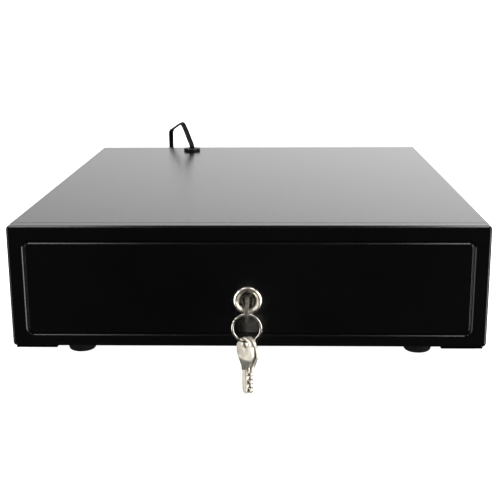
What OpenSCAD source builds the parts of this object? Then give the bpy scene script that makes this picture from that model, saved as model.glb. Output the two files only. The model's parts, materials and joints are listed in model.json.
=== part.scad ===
/* [Body] */
// Width of the body across the front
body_w = 350; // [290:1:460]
// Depth of the body from the front face to the rear face
body_d = 405; // [360:1:500]
// Height of the body above the underside of its base pan
body_h = 91.7; // [84:0.1:120]
// Thickness of the sheet steel
sheet = 1.0; // [0.8:0.1:1.5]
// Outside radius of the bends in the cover and the front
bend_r = 2.5; // [1.6:0.1:4]
// Width of the cover's return flanges under the base
flange_w = 33; // [20:1:40]
// Depth of the folds around the drawer front
front_fold = 10; // [6:0.5:14]
// Gap between the drawer front's folds and the cover
front_gap = 1.0; // [0.6:0.1:2]

/* [Front bead] */
// Margin from the side of the front to the outside of the bead
bead_side = 10.5; // [6:0.5:20]
// Margin from the top of the front to the outside of the bead
bead_top = 10.5; // [5:0.1:14]
// Margin from the bottom of the front to the outside of the bead
bead_bottom = 8.2; // [5:0.1:14]
// Width of the bead
bead_w = 3.2; // [2:0.1:5]
// Depth of the bead below the face
bead_depth = 1.0; // [0.5:0.1:1.5]
// Outside radius of the bead's corners
bead_corner = 6; // [5:0.5:12]

/* [Drawer] */
// Clear height between the base pan and the drawer's floor
tray_lift = 7; // [6:0.5:12]
// Height of the drawer's walls
tray_wall = 66; // [50:1:90]
// Room behind the drawer for the release mechanism
rear_room = 58; // [56:1:70]
// Room between the front sheet and the drawer's inner front wall
lock_room = 30; // [28:1:40]
// How far the drawer opens
travel = 300; // [150:5:310]

/* [Slides] */
// Height of the ball-bearing slides
slide_h = 35; // [35:1:45]
// Thickness of a closed slide
slide_w = 12.7; // [12.7:0.1:14]
// Length of each slide member
slide_l = 350; // [330:5:350]
// Diameter of the bearing balls
ball_d = 2.9; // [2:0.1:3.2]

/* [Till] */
// Number of note compartments
note_bays = 4; // [3:1:5]
// Number of coin cups
coin_bays = 5; // [4:1:6]
// Depth of the coin tray from front to rear
coin_d = 98; // [80:1:110]
// Height of the till
till_h = 54; // [46:1:60]
// Thickness of the till's walls
till_t = 2.2; // [1.6:0.1:3]

/* [Lock and keys] */
// Diameter of the lock's bezel
bezel_d = 20.8; // [18:0.1:26]
// Diameter of the lock's threaded barrel
barrel_d = 16; // [14:0.5:19]
// Diameter of the turning plug
plug_d = 12.4; // [10:0.1:14]
// Height of the lock's centre above the base pan
lock_z = 36.4; // [32:0.2:50]
// Thickness of a key
key_t = 1.8; // [1.5:0.1:2.2]
// Width of a key's bow
bow_w = 17.5; // [14:0.5:20]
// Length of a key's bow
bow_l = 21; // [18:0.5:26]
// Length of a key's blade
blade_l = 21.5; // [20:0.5:28]
// Outside diameter of the key ring
ring_d = 21.5; // [20:0.5:30]

/* [Feet] */
// Diameter of a rubber foot
foot_d = 23; // [16:0.5:30]
// Height of a rubber foot
foot_h = 10; // [8:0.5:16]
// Distance of the feet from the body's sides
foot_side = 47; // [45:1:60]
// Distance of the feet from the front and rear faces
foot_end = 25; // [20:1:60]

/* [Mounting] */
// Spacing of the base mounting holes across the body
mount_x = 200; // [150:1:215]
// Spacing of the base mounting holes along the body
mount_y = 260; // [200:1:280]
// Diameter of the base mounting holes
mount_d = 5.5; // [4:0.1:6.5]

/* [Hidden] */

$fn = 48;
eps = 0.01;            // overlap of cutting tools
fit = 0.05;            // radial clearance of a running fit
gap = 0.3;             // clearance between bodies that pass each other
steel_black = "#1b1b1e";
zinc = "#b9bcc0";
nickel = "#c9c6bf";
plastic_black = "#2a2a2c";
rubber = "#202022";
jacket = "#151516";

front_y = -body_d / 2;
rear_y = body_d / 2;
half_w = body_w / 2;
cover_y = front_y + front_fold + front_gap;
fold_y = front_y + front_fold;
panel_z0 = 0.2;        // the front's lower edge above the pan's underside

// Screws, studs and feet
screw_r = 2;
screw_hole = 2.05;
screw_end = 20;
screw_head = [3.6, 1.6];
cover_screw_y = [cover_y + screw_end, 0, rear_y - screw_end];
foot_x = half_w - foot_side;
foot_y = body_d / 2 - foot_end;
foot_round = 2.5;
foot_step = 1.2;
foot_rim = 3;
foot_bore = 4.2;
foot_recess = 6;
foot_head = [3.8, 2];
grommet_neck = 6.1;

// Slides: the outer member stands on the base pan's side wall, the inner on the drawer's side wall
pan_x = half_w - sheet - gap;
pan_in = pan_x - sheet;
tray_x = pan_in - slide_w;
slide_z = tray_lift + sheet + 4 + slide_h / 2;
slide_y = cover_y + 3.5;
outer_t = 1.2;
member_t = 1.0;
outer_reach = 9.4;      // how far the outer member's flanges stand from the pan's wall
middle_set = 2.9;       // the middle member's web from the pan's wall
middle_tip = 1.8;       // its flanges' edge from the drawer's wall
inner_reach = 6.8;      // the inner member's flanges from the drawer's wall
half_outer = slide_h / 2;
ball_space = ball_d + 2 * fit;
half_middle = half_outer - outer_t - ball_space;
half_inner = half_middle - member_t - ball_space;
outer_ball_z = half_outer - outer_t - ball_space / 2;
inner_ball_z = half_middle - member_t - ball_space / 2;
cage_l = slide_l - travel / 2 - 8;
cage_y = slide_y + travel / 4 + 4;
balls = 8;
ball_end = 8;           // the first ball from the cage's end
cage_t = 0.6;

// Drawer
tray_z = sheet + tray_lift;
tray_rear = rear_y - rear_room;
tray_front = front_y + sheet + bead_depth + 0.3;
wall_y = front_y + lock_room;
wall_t = sheet;
stud_x = tray_x - 7;
stud_z = [tray_z + 12, tray_z + tray_wall - 12];
stud_len = 5;

// Till
till_gap = 1.2;
till_z = tray_z + wall_t + 0.3;
till_x = tray_x - wall_t - till_gap;
till_y0 = wall_y + wall_t + till_gap;
till_y1 = tray_rear - wall_t - till_gap;
coin_y1 = till_y0 + till_t + coin_d + 2 * till_gap;
note_pitch = (2 * till_x - till_t) / note_bays;
note_w = note_pitch - till_t;
rod_r = 2;
rod_y = till_y1 - till_t - 9;
rod_z = till_z + till_h - 7;
clip_w = 34;
clip_l = 92;
coin_top = till_z + till_h + 1;
coin_z = till_z + till_t + 14;

// Lock
plug_front = front_y - 2.2;
barrel_rear = front_y + 22.5;
cam_t = 2;
cam_l = lock_z - 3.5;
cam_w = 13;
cam_square = 5.6;
cam_screw_r = 1.5;
cam_y = barrel_rear + 0.4;
key_slot = key_t + 0.3;
blade_h = 6.4;
bow_y = plug_front - 10.8;
hole_back = 4.7;
hole_y = bow_y - bow_l + hole_back;
hole_r = 3.2;
wire_y = 1.8;
wire_z = 1.5;
ring_r = ring_d / 2 - wire_z / 2;
ring_top = lock_z - 1.8;
ring_z = ring_top - ring_r;
key_front_x = -0.8;
key_back_x = 2.2;
key_front_yaw = -47;
key_back_yaw = -49;
hang = hole_r - wire_z / 2 - 1.05;     // the hole's centre below the wire's, with the wire at its top edge
wire_edge = 0.4;

// Release mechanism behind the drawer
mech_z = sheet;
deck_t = 1.5;
deck_z = mech_z + deck_t;
strike_x = 2;
strike_y = tray_rear + 15;
strike_r = 2.5;
pivot_x = strike_x - 16;
pivot_y = strike_y + 18;
pin_r = 3;
lever_z = deck_z + 6;
lever_t = 3;
release_deg = 16;
link_l = 10;
link_r = 1.5;
sol_x = pivot_x + 38;
sol_y = pivot_y + link_l * cos(release_deg / 2);
sol_z = lever_z + lever_t + 1.4;
plunger_r = 4.5;
switch_x = 48;
switch_y = tray_rear + 6.5;
switch_z = sheet + 4;
switch_case = [20, 6.4, 11];
ejector_x = 100;
ejector_y = tray_rear + 1;
ejector_cap = [7.5, 4];

// Cord: a flat four-core lead, wider than it is thick
cord_w = 5.2;
cord_t = 2.4;
floor_z = -foot_h;
grommet_x = -72;
grommet_y = rear_y - 27;
grommet_r = 9;
tie_t = 0.8;
coil_r = 28.5;
coil_turns = 5;
coil_x = -62;
coil_y = 240.5;
coil_z = floor_z + tie_t;
coil_band = (coil_turns + 1) * cord_t;
// Points along the cord from the grommet over the rear edge and down to the coil
CORD = [
    [-72, 175.5, 91.7], [-72, 175.5, 95.7], [-73.2, 178.6, 99.2], [-76.4, 187, 104.6], [-80.2, 197.2, 110.9],
    [-83.8, 206.6, 116.1], [-86.2, 212.6, 117.2], [-89.6, 221, 115.6], [-94.6, 235.6, 111.5],
    [-99.6, 250.2, 107.4], [-103, 260.6, 104.2], [-104.7, 266.6, 99.9], [-105, 269, 93.7], [-105, 269.5, 81.6],
    [-105, 270.5, 63.3], [-105, 271.7, 44.9], [-105, 273, 26.5], [-105, 274.2, 12.2],
    [-104.4, 275, 3.6], [-101.5, 275, -2.8], [-96, 275, -6.2], [-89, 275, -6.6],
    [-80.5, 275, -6.6], [-72, 275, -6.6]
];
// Points along the lead inside the body, from the grommet to the solenoid
LEAD = [
    [-72, 175.5, 91.7], [-72, 175.5, 86.7], [-72, 175.6, 76.5], [-72, 176.5, 63.3], [-72, 179, 51],
    [-71.5, 184, 38.7], [-70, 189.5, 27.5], [-66.5, 193.5, 18.3], [-60, 195.2, 12.2], [-50, 195.5, 9.1],
    [-38, 195.5, 8.1], [-26, 195.5, 8.1], [-14, 195.5, 8.1], [-2, 195.5, 8.1], [6, 195.5, 8.1]
];

// Direction of the lead's width at point i: across the body, then upright as it turns along the rear
function lead_side(i) = let (a = 90 * max(0, min(1, (i - 3) / 6))) [cos(a), 0, sin(a)];

// Direction of the cord's width at point i: across the body over the rear edge with a skew fold at
// the crest, a quarter turn on the way down, and a quarter turn on to its edge along the floor
function cord_fold(i) = 31 * max(0, min(1, (i - 5) / 2, (11 - i) / 2));
function cord_side(i) =
    i <= 20 ? let (a = 90 * max(0, min(1, (i - 12) / 5)), f = cord_fold(i)) [cos(a) * cos(f), sin(a), sin(f)]
    : let (b = 90 * (i - 20) / 3) [0, cos(b), sin(b)];

// Rectangle with round corners, centred
module rounded(w, h, r) {
    square([w - 2 * r, h], center = true);
    square([w, h - 2 * r], center = true);
    for (sx = [-1, 1], sy = [-1, 1])
        translate([sx * (w / 2 - r), sy * (h / 2 - r)]) circle(r);
}

// Flat slot shape from point a to point b
module bar(a, b, r) {
    d = b - a;
    len = norm(d);
    translate(a) circle(r);
    translate(b) circle(r);
    translate(a) rotate(atan2(d[1], d[0])) translate([0, -r]) square([len, 2 * r]);
}

// Upright cylinder from z0 to z1
module post(r, z0, z1) {
    translate([0, 0, z0]) cylinder(r = r, h = z1 - z0);
}

// Cylinder along +Y from y0 to y1
module rod_along_y(r, y0, y1) {
    translate([0, y0, 0]) rotate([-90, 0, 0]) cylinder(r = r, h = y1 - y0);
}

// Cylinder along X, centred
module rod_along_x(r, len) {
    rotate([0, 90, 0]) cylinder(r = r, h = len, center = true);
}

// Extrusion along +Y of a shape drawn in X and Z
module along_y(y0, y1) {
    translate([0, y1, 0]) rotate([90, 0, 0]) linear_extrude(y1 - y0) children();
}

// Extrusion along X, centred, of a shape drawn in Y and Z
module along_x(len) {
    rotate([90, 0, 90]) linear_extrude(len, center = true) children();
}

// Pan-head screw pointing up, its head's top at the origin
module screw_up(r, len, head_r, head_h) {
    post(r, 0, len);
    post(head_r, -head_h, 0);
}

function unit(v) = v / norm(v);
function tangent(p, i) = unit(p[min(i + 1, len(p) - 1)] - p[max(i - 1, 0)]);

// Faces of a swept tube with n sides and m rings
function tube_faces(n, m) = concat(
    [[for (k = [0 : n - 1]) k]],
    [for (i = [0 : m - 2], k = [0 : n - 1])
        [i * n + k, (i + 1) * n + k, (i + 1) * n + (k + 1) % n, i * n + (k + 1) % n]],
    [[for (k = [n - 1 : -1 : 0]) (m - 1) * n + k]]
);

// Tube of an oval section swept along points, with the direction of its width at each point
module swept(points, w, t, sides, n = 8) {
    m = len(points);
    rings = [for (i = [0 : m - 1])
        let (d = tangent(points, i), v = sides[i], a = unit(v - d * (v * d)), b = cross(d, a))
        for (k = [0 : n - 1])
            let (u = 360 * k / n)
            points[i] + a * (w / 2 * cos(u)) + b * (t / 2 * sin(u))];
    polyhedron(points = rings, faces = tube_faces(n, m), convexity = 6);
}

// Helical spring along +Z
module helix(r, wire, len, turns, steps = 10, n = 6) {
    count = turns * steps;
    points = [for (i = [0 : count])
        [r * cos(360 * i / steps), r * sin(360 * i / steps), len * i / count]];
    rings = [for (i = [0 : count])
        let (a = 360 * i / steps, out = [cos(a), sin(a), 0])
        for (k = [0 : n - 1])
            points[i] + out * (wire * cos(360 * k / n)) - [0, 0, wire * sin(360 * k / n)]];
    polyhedron(points = rings, faces = tube_faces(n, count + 1), convexity = 10);
}

// Closed outline of the body's sheet shell at an inset from the outside
module shell_outline(inset, bottom) {
    w = body_w - 2 * inset;
    z0 = bottom + inset;
    h = body_h - inset - z0;
    r = max(bend_r - inset, 0.5);
    translate([0, z0 + h / 2]) rounded(w, h, r);
}

module top_cover() {
    lap = 1;
    tongue = [flange_w - bend_r, cover_y - front_y, sheet];
    tongue_y = (front_y + cover_y) / 2 + lap;
    color(steel_black) difference() {
        union() {
            along_y(cover_y, rear_y) difference() {
                shell_outline(0, -sheet);
                shell_outline(sheet, -sheet);
                square([body_w - 2 * flange_w, 4 * sheet], center = true);
            }
            for (s = [-1, 1])
                translate([s * (half_w - (flange_w + bend_r) / 2), tongue_y, -sheet / 2])
                    cube(tongue, center = true);
        }
        translate([grommet_x, grommet_y, 0]) post(grommet_neck + 2 * fit, body_h - 2 * sheet, body_h + eps);
        for (s = [-1, 1], y = cover_screw_y)
            translate([s * (half_w - flange_w / 2), y, 0]) post(screw_hole, -2 * sheet, eps);
    }
}

module base_pan() {
    setback = 0.5;
    bend = 1.6;
    color(zinc) difference() {
        union() {
            along_y(cover_y + setback, rear_y - sheet - gap) difference() {
                translate([0, slide_z]) rounded(2 * pan_x, 2 * slide_z, bend);
                translate([0, slide_z + 2 * sheet])
                    rounded(2 * pan_in, 2 * slide_z + 2 * sheet, bend - 0.6 * sheet);
            }
        }
        translate([-body_w / 2, -body_d / 2, slide_z + half_outer]) cube([body_w, body_d, body_h]);
        for (s = [-1, 1], e = [-1, 1]) {
            translate([s * mount_x / 2, e * mount_y / 2, 0]) post(mount_d / 2, -eps, 2 * sheet);
            translate([s * foot_x, e * foot_y, 0]) post(screw_hole, -eps, 2 * sheet);
        }
        for (s = [-1, 1], y = cover_screw_y)
            translate([s * (half_w - flange_w / 2), y, 0]) post(screw_hole, -eps, 2 * sheet);
    }
}

module rear_panel() {
    top = body_h - sheet - gap;
    lip = 14;
    color(steel_black) {
        along_y(rear_y - sheet, rear_y) translate([0, (top + gap) / 2])
            rounded(2 * pan_x, top - gap, bend_r - sheet);
        translate([bend_r - pan_x, rear_y - lip, top - sheet]) cube([2 * (pan_x - bend_r), lip, sheet]);
    }
}

module cover_screws() {
    color(zinc)
        for (s = [-1, 1], y = cover_screw_y)
            translate([s * (half_w - flange_w / 2), y, -sheet])
                screw_up(screw_r, 4 * sheet, screw_head[0], screw_head[1]);
}

module foot(sx, sy) {
    waist = foot_d / 2 - foot_step;
    sole = waist - foot_round;
    color(rubber) translate([sx * foot_x, sy * foot_y, 0]) rotate_extrude($fn = 64) difference() {
        union() {
            translate([0, foot_round - foot_h]) square([waist, foot_h - foot_round]);
            translate([0, -foot_h]) square([sole, foot_h]);
            translate([sole, foot_round - foot_h]) circle(foot_round);
            translate([0, -foot_rim]) square([foot_d / 2, foot_rim]);
        }
        translate([0, -foot_h - eps]) square([foot_bore, foot_recess]);
        translate([0, -foot_h]) square([screw_hole, foot_h + eps]);
    }
}
module foot_front_left() { foot(-1, -1); }
module foot_front_right() { foot(1, -1); }
module foot_rear_left() { foot(-1, 1); }
module foot_rear_right() { foot(1, 1); }

module foot_screws() {
    seat = foot_recess - foot_h - eps;
    color(zinc)
        for (sx = [-1, 1], sy = [-1, 1])
            translate([sx * foot_x, sy * foot_y, seat])
                screw_up(screw_r, 3.5 * sheet - seat, foot_head[0], foot_head[1]);
}

// Channel of a slide member: web at x0, flanges reaching to x1, both on the right-hand side
module channel(x0, x1, web, half, t, y0, y1) {
    lo = min(x0, x1);
    hi = max(x0, x1);
    web_x = x0 < x1 ? x0 : x0 - web;
    translate([0, 0, slide_z]) along_y(y0, y1) {
        translate([web_x, -half]) square([web, 2 * half]);
        for (s = [-1, 1])
            translate([lo, s * (half - t / 2) - t / 2]) square([hi - lo, t]);
    }
}

module sided(s) {
    if (s > 0) children();
    else mirror([1, 0, 0]) children();
}

module slide_outer(s) {
    color(zinc) sided(s)
        channel(pan_in, pan_in - outer_reach, outer_t, half_outer, outer_t, slide_y, slide_y + slide_l);
}
module slide_outer_left() { slide_outer(-1); }
module slide_outer_right() { slide_outer(1); }

module slide_middle(s) {
    color(zinc) sided(s)
        channel(pan_in - middle_set, tray_x + middle_tip, member_t, half_middle, member_t,
            slide_y, slide_y + slide_l);
}
module slide_middle_left() { slide_middle(-1); }
module slide_middle_right() { slide_middle(1); }

module slide_inner(s) {
    color(zinc) sided(s)
        channel(tray_x, tray_x + inner_reach, member_t, half_inner, member_t, slide_y, slide_y + slide_l);
}
module slide_inner_left() { slide_inner(-1); }
module slide_inner_right() { slide_inner(1); }

// Ball cage: a folded strip with two rows of captive balls; its web stands at web_x, its edges at tip_x
module cage(s, web_x, tip_x, ball_x, row_z) {
    step = (cage_l - 2 * ball_end) / (balls - 1);
    color("#8d9095") sided(s) translate([0, 0, slide_z]) {
        along_y(cage_y, cage_y + cage_l) {
            translate([web_x, -row_z - cage_t / 2]) square([cage_t, 2 * row_z + cage_t]);
            for (r = [-1, 1])
                translate([tip_x, r * row_z - cage_t / 2]) square([web_x - tip_x, cage_t]);
        }
        for (r = [-1, 1], i = [0 : balls - 1])
            translate([ball_x, cage_y + ball_end + i * step, r * row_z]) sphere(d = ball_d, $fn = 24);
    }
}
module cage_outer(s) {
    clearance = 0.4;
    ball_set = 3.25;
    web_x = pan_in - (outer_t + middle_set + cage_t) / 2;
    cage(s, web_x, pan_in - outer_reach + clearance, web_x - ball_set, outer_ball_z);
}
module cage_inner(s) {
    clearance = 0.2;
    ball_set = 4.6;
    web_x = pan_in - middle_set - member_t - 1;
    cage(s, web_x, tray_x + middle_tip + clearance, tray_x + ball_set, inner_ball_z);
}
module cage_outer_left() { cage_outer(-1); }
module cage_outer_right() { cage_outer(1); }
module cage_inner_left() { cage_inner(-1); }
module cage_inner_right() { cage_inner(1); }

module drawer_tray() {
    front_flange = 14;
    len = tray_rear - tray_front;
    mid_y = (tray_rear + tray_front) / 2;
    color(steel_black) difference() {
        union() {
            translate([0, mid_y, tray_z + tray_wall / 2]) difference() {
                cube([2 * tray_x, len, tray_wall], center = true);
                translate([0, 0, wall_t])
                    cube([2 * (tray_x - wall_t), len - 2 * wall_t, tray_wall], center = true);
                translate([0, -len / 2, wall_t])
                    cube([2 * (tray_x - front_flange), 4 * wall_t, tray_wall], center = true);
            }
            translate([-tray_x + eps, wall_y, tray_z + eps])
                cube([2 * (tray_x - eps), wall_t, tray_wall - eps]);
        }
        translate([-cam_l, cam_y - cam_t, 0]) cube([2 * cam_l, 3 * cam_t, tray_z + 2 * wall_t]);
        for (s = [-1, 1], z = stud_z)
            translate([s * stud_x, 0, z]) rod_along_y(screw_hole, tray_front - eps, tray_front + 2 * wall_t);
    }
}

// Rounded-rectangle band of the bead, widened on both sides by grow
module bead_band(grow) {
    w = body_w - 2 * bead_side;
    z0 = panel_z0 + bead_bottom;
    h = body_h - bead_top - z0;
    translate([0, z0 + h / 2]) difference() {
        rounded(w + 2 * grow, h + 2 * grow, bead_corner + grow);
        rounded(w - 2 * bead_w - 2 * grow, h - 2 * bead_w - 2 * grow, bead_corner - bead_w - grow);
    }
}

// Block with the front's round edges, open to the rear
module front_form() {
    h = body_h - panel_z0;
    mid = panel_z0 + h / 2;
    long = 2 * front_fold;
    intersection() {
        along_y(front_y, fold_y) translate([0, mid]) rounded(body_w, h, bend_r);
        translate([0, fold_y, 0]) linear_extrude(2 * body_h) rounded(body_w, long, bend_r);
        translate([0, fold_y, mid]) along_x(body_w) rounded(long, h, bend_r);
    }
}

module front_panel() {
    back_y = front_y + sheet;
    h = body_h - panel_z0;
    weld = 0.2;
    color(steel_black) difference() {
        union() {
            difference() {
                front_form();
                along_y(back_y, fold_y + 1) translate([0, panel_z0 + h / 2])
                    rounded(body_w - 2 * sheet, h - 2 * sheet, bend_r - sheet);
            }
            along_y(back_y - weld, back_y + bead_depth) bead_band(sheet);
            for (s = [-1, 1], z = stud_z)
                translate([s * stud_x, 0, z])
                    rod_along_y(screw_r, back_y - weld, tray_front + wall_t + stud_len);
        }
        along_y(front_y - sheet, front_y + bead_depth) bead_band(0);
        translate([0, 0, lock_z]) rod_along_y(barrel_d / 2 + fit, front_y - sheet, back_y + 3 * sheet);
    }
}

module panel_nuts() {
    nut_y = tray_front + wall_t;
    across_corners = 8.08;
    high = 3.2;
    color(zinc)
        for (s = [-1, 1], z = stud_z)
            translate([s * stud_x, 0, z]) difference() {
                along_y(nut_y, nut_y + high) circle(d = across_corners, $fn = 6);
                rod_along_y(screw_r + fit, nut_y - eps, nut_y + 2 * high);
            }
}

module latch_strike() {
    plate = [22, 1.5, 22];
    arm = [12, 2];
    arm_z = lever_z + lever_t + 5;
    color(zinc) {
        translate([strike_x - plate[0] / 2, tray_rear, tray_z + 1]) cube(plate);
        translate([strike_x - arm[0] / 2, tray_rear, arm_z])
            cube([arm[0], strike_y - tray_rear + 5, arm[1]]);
        translate([strike_x, strike_y, 0]) post(strike_r, lever_z - 2, arm_z + eps);
    }
}

module lock_barrel() {
    rim_h = 1.6;
    bezel_h = 3.2;
    lip = 1.4;
    shoulder = 1.2;
    dish = [6.7, 8.9];
    lap = 0.1;
    flat = 0.9;
    color(nickel) translate([0, 0, lock_z]) difference() {
        union() {
            rod_along_y(barrel_d / 2, front_y - eps, barrel_rear);
            rotate([90, 0, 0]) rotate_extrude($fn = 96) difference() {
                union() {
                    translate([0, -front_y]) square([bezel_d / 2, rim_h]);
                    translate([0, -front_y]) square([bezel_d / 2 - shoulder, bezel_h]);
                    translate([bezel_d / 2 - lip, bezel_h - lip - front_y]) circle(lip);
                }
                polygon([[0, rim_h - front_y], [dish[0], rim_h - front_y],
                    [dish[1], bezel_h + lap - front_y], [0, bezel_h + lap - front_y]]);
            }
        }
        rod_along_y(plug_d / 2 + fit, front_y - 2 * bezel_h, barrel_rear + eps);
        for (s = [-1, 1])
            translate([s * (barrel_d / 2 - flat + 0.5) - 0.5, front_y + sheet, -barrel_d])
                cube([1, 2 * barrel_d, 2 * barrel_d]);
    }
}

module lock_nut() {
    across_corners = 24;
    high = 5;
    color(nickel) translate([0, 0, lock_z]) difference() {
        along_y(front_y + sheet, front_y + sheet + high) circle(d = across_corners, $fn = 6);
        rod_along_y(barrel_d / 2 + fit, front_y, front_y + 2 * high);
    }
}

module lock_plug() {
    color(nickel) translate([0, 0, lock_z]) difference() {
        union() {
            rod_along_y(plug_d / 2, plug_front, barrel_rear);
            along_y(barrel_rear - eps, cam_y) circle(0.37 * plug_d);
            along_y(barrel_rear, cam_y + cam_t) square(cam_square, center = true);
        }
        translate([-key_slot / 2, plug_front - eps, -blade_h / 2 - gap])
            cube([key_slot, blade_l - 2, blade_h + 2 * gap]);
        rod_along_y(cam_screw_r + fit, barrel_rear - 2 * cam_screw_r, cam_y + 2 * cam_t);
    }
}

module lock_cam() {
    color(zinc) translate([0, 0, lock_z]) difference() {
        along_y(cam_y, cam_y + cam_t) bar([0, 0], [cam_l - cam_w / 2, 0], cam_w / 2);
        along_y(cam_y - eps, cam_y + cam_t + eps) square(cam_square + 2 * fit, center = true);
    }
}

module cam_screw() {
    head = [4.4, 1.8];
    color(zinc) translate([0, 0, lock_z]) {
        rod_along_y(cam_screw_r, barrel_rear - 2 * cam_screw_r + 0.2, cam_y + cam_t);
        rod_along_y(head[0], cam_y + cam_t, cam_y + cam_t + head[1]);
    }
}

module lock_keeper() {
    wide = 44;
    deep = 8;
    plate = 1.5;
    tab_y = cam_y - plate - 0.7;
    color(zinc) {
        translate([-wide / 2, tab_y - deep, sheet]) cube([wide, deep + plate, plate]);
        translate([-wide / 2, tab_y, sheet]) cube([wide, plate, tray_z - sheet - 1.2]);
    }
}

// Outline of a key lying in a plane: the blade runs along +X from the origin, the bow lies behind
module key_outline(cuts) {
    head = bow_w / 2;
    end = [12.6, 6.2];          // width and corner radius of the bow's end
    body = [11, 3.4];           // length and corner radius of the bow's middle
    neck = 4.6;                 // half the width where the bow meets the shoulder
    shoulder = [4.4, 0.8];      // length of the shoulder, and how far it stands out from the blade
    point = 2.4;                // length of the tapered tip
    pitch = 3;                  // from one bit to the next
    flat = 0.6;                 // half the flat at the bottom of a bit
    flare = 1.6;                // how far each side of a bit leans out over one pitch
    overlap = 0.1;
    first = shoulder[0] + 1.8;
    difference() {
        union() {
            translate([head - 0.8 - bow_l, 0]) rounded(bow_w - 1.6, end[0], end[1]);
            translate([-bow_l / 2 - 0.5, 0]) rounded(body[0], bow_w, body[1]);
            polygon([[-0.8 * head, head - 0.4], [0.5, neck], [0.5, -neck], [-0.8 * head, 0.4 - head]]);
            translate([0, -blade_h / 2 - shoulder[1]]) square([shoulder[0], blade_h + 2 * shoulder[1]]);
            translate([0, -blade_h / 2]) square([blade_l - point, blade_h]);
            polygon([[blade_l - point - overlap, -blade_h / 2], [blade_l, 2 - blade_h / 2], [blade_l, 0.4],
                [blade_l - point - overlap, blade_h / 2]]);
        }
        translate([hole_back - bow_l, 0]) circle(hole_r);
        for (i = [0 : len(cuts) - 1])
            translate([first + pitch * i, blade_h / 2 - cuts[i]])
                polygon([[-flat, 0], [flat, 0], [flat + flare, pitch], [-flat - flare, pitch]]);
    }
}

// Key plate with a milled groove along each side of its blade
module key(cuts) {
    groove = [1, 0.4];
    start = 3.5;
    color(nickel) difference() {
        linear_extrude(key_t, center = true) key_outline(cuts);
        // Low edge and floor of the groove in each face
        for (side = [[0.55, key_t / 2 - groove[1]], [-1.55, -key_t / 2 - eps]])
            translate([start, side[0], side[1]]) cube([blade_l, groove[0], groove[1] + eps]);
    }
}

module key_inserted() {
    translate([0, bow_y, lock_z]) rotate([90, 0, 90]) key([1.2, 2.0, 1.0, 1.8, 1.4]);
}

// Height of the middle of the ring's wire at x, on the ring's lower half
function wire_z_at(x) = ring_z - sqrt(ring_r * ring_r - x * x);

// Key that hangs from the ring by the hole in its bow
module hanging_key(x, yaw, cuts) {
    translate([x, hole_y, wire_z_at(x) - hang]) rotate([0, 0, yaw]) rotate([90, 90, 0])
        translate([bow_l - hole_back, 0, 0]) key(cuts);
}
module key_front() { hanging_key(key_front_x, key_front_yaw, [1.4, 1.0, 2.0, 1.2, 1.8]); }
module key_back() { hanging_key(key_back_x, key_back_yaw, [1.0, 1.8, 1.2, 2.0, 1.4]); }

module key_ring() {
    color(nickel) translate([0, hole_y, ring_z]) rotate([90, 0, 0]) rotate_extrude($fn = 96)
        translate([ring_r, 0]) rounded(wire_z, wire_y, wire_edge);
}

module till() {
    h = till_h;
    note_y0 = coin_y1 + till_t;
    color(plastic_black) difference() {
        translate([-till_x, till_y0, till_z]) cube([2 * till_x, till_y1 - till_y0, h]);
        translate([-till_x + till_t, till_y0 + till_t, till_z + till_t])
            cube([2 * (till_x - till_t), coin_y1 - till_y0 - till_t, h]);
        for (i = [0 : note_bays - 1])
            translate([-till_x + till_t + i * note_pitch, note_y0, till_z + till_t])
                cube([note_w, till_y1 - till_t - note_y0, h]);
        translate([0, rod_y, rod_z]) rod_along_x(rod_r + fit, 3 * till_x);
    }
}

// Coin tray: cups with round bottoms, standing on four legs in the till
module coin_tray() {
    w = 2 * (till_x - till_t - till_gap);
    y0 = till_y0 + till_t + till_gap;
    h = coin_top - coin_z;
    pitch = (w - till_t) / coin_bays;
    cup_w = pitch - till_t;
    cup_r = coin_d / 2 - till_t;
    cup_rise = 12;
    leg = 8;
    leg_in = 4;
    leg_z = till_z + till_t + gap;
    color(plastic_black) difference() {
        translate([-w / 2, y0, coin_z]) cube([w, coin_d, h]);
        for (i = [0 : coin_bays - 1])
            translate([till_t + (i + 0.5) * pitch - (w + till_t) / 2, y0 + coin_d / 2, 0]) {
                intersection() {
                    translate([0, 0, coin_top + cup_rise]) rod_along_x(cup_r + leg_in, cup_w);
                    translate([-cup_w / 2, -cup_r, coin_z + till_t]) cube([cup_w, 2 * cup_r, h]);
                }
            }
    }
    color(plastic_black)
        for (s = [-1, 1], e = [0, 1])
            translate([s * (w / 2 - leg) - leg / 2, y0 + leg_in + e * (coin_d - 2 * leg), leg_z])
                cube([leg, leg, coin_z - leg_z + eps]);
}

module clip_rod() {
    color(zinc) translate([0, rod_y, rod_z]) rod_along_x(rod_r, 2 * till_x - 1);
}

function bay_x(i) = -till_x + till_t / 2 + (i + 0.5) * note_pitch;

module clip_springs() {
    wire = 0.45;
    len = 6;
    color(nickel)
        for (i = [0 : note_bays - 1])
            translate([bay_x(i) + clip_w / 2 + 1, rod_y, rod_z]) rotate([0, 90, 0])
                helix(rod_r + 2 * wire, wire, len, 5, 8, 5);
}

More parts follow.
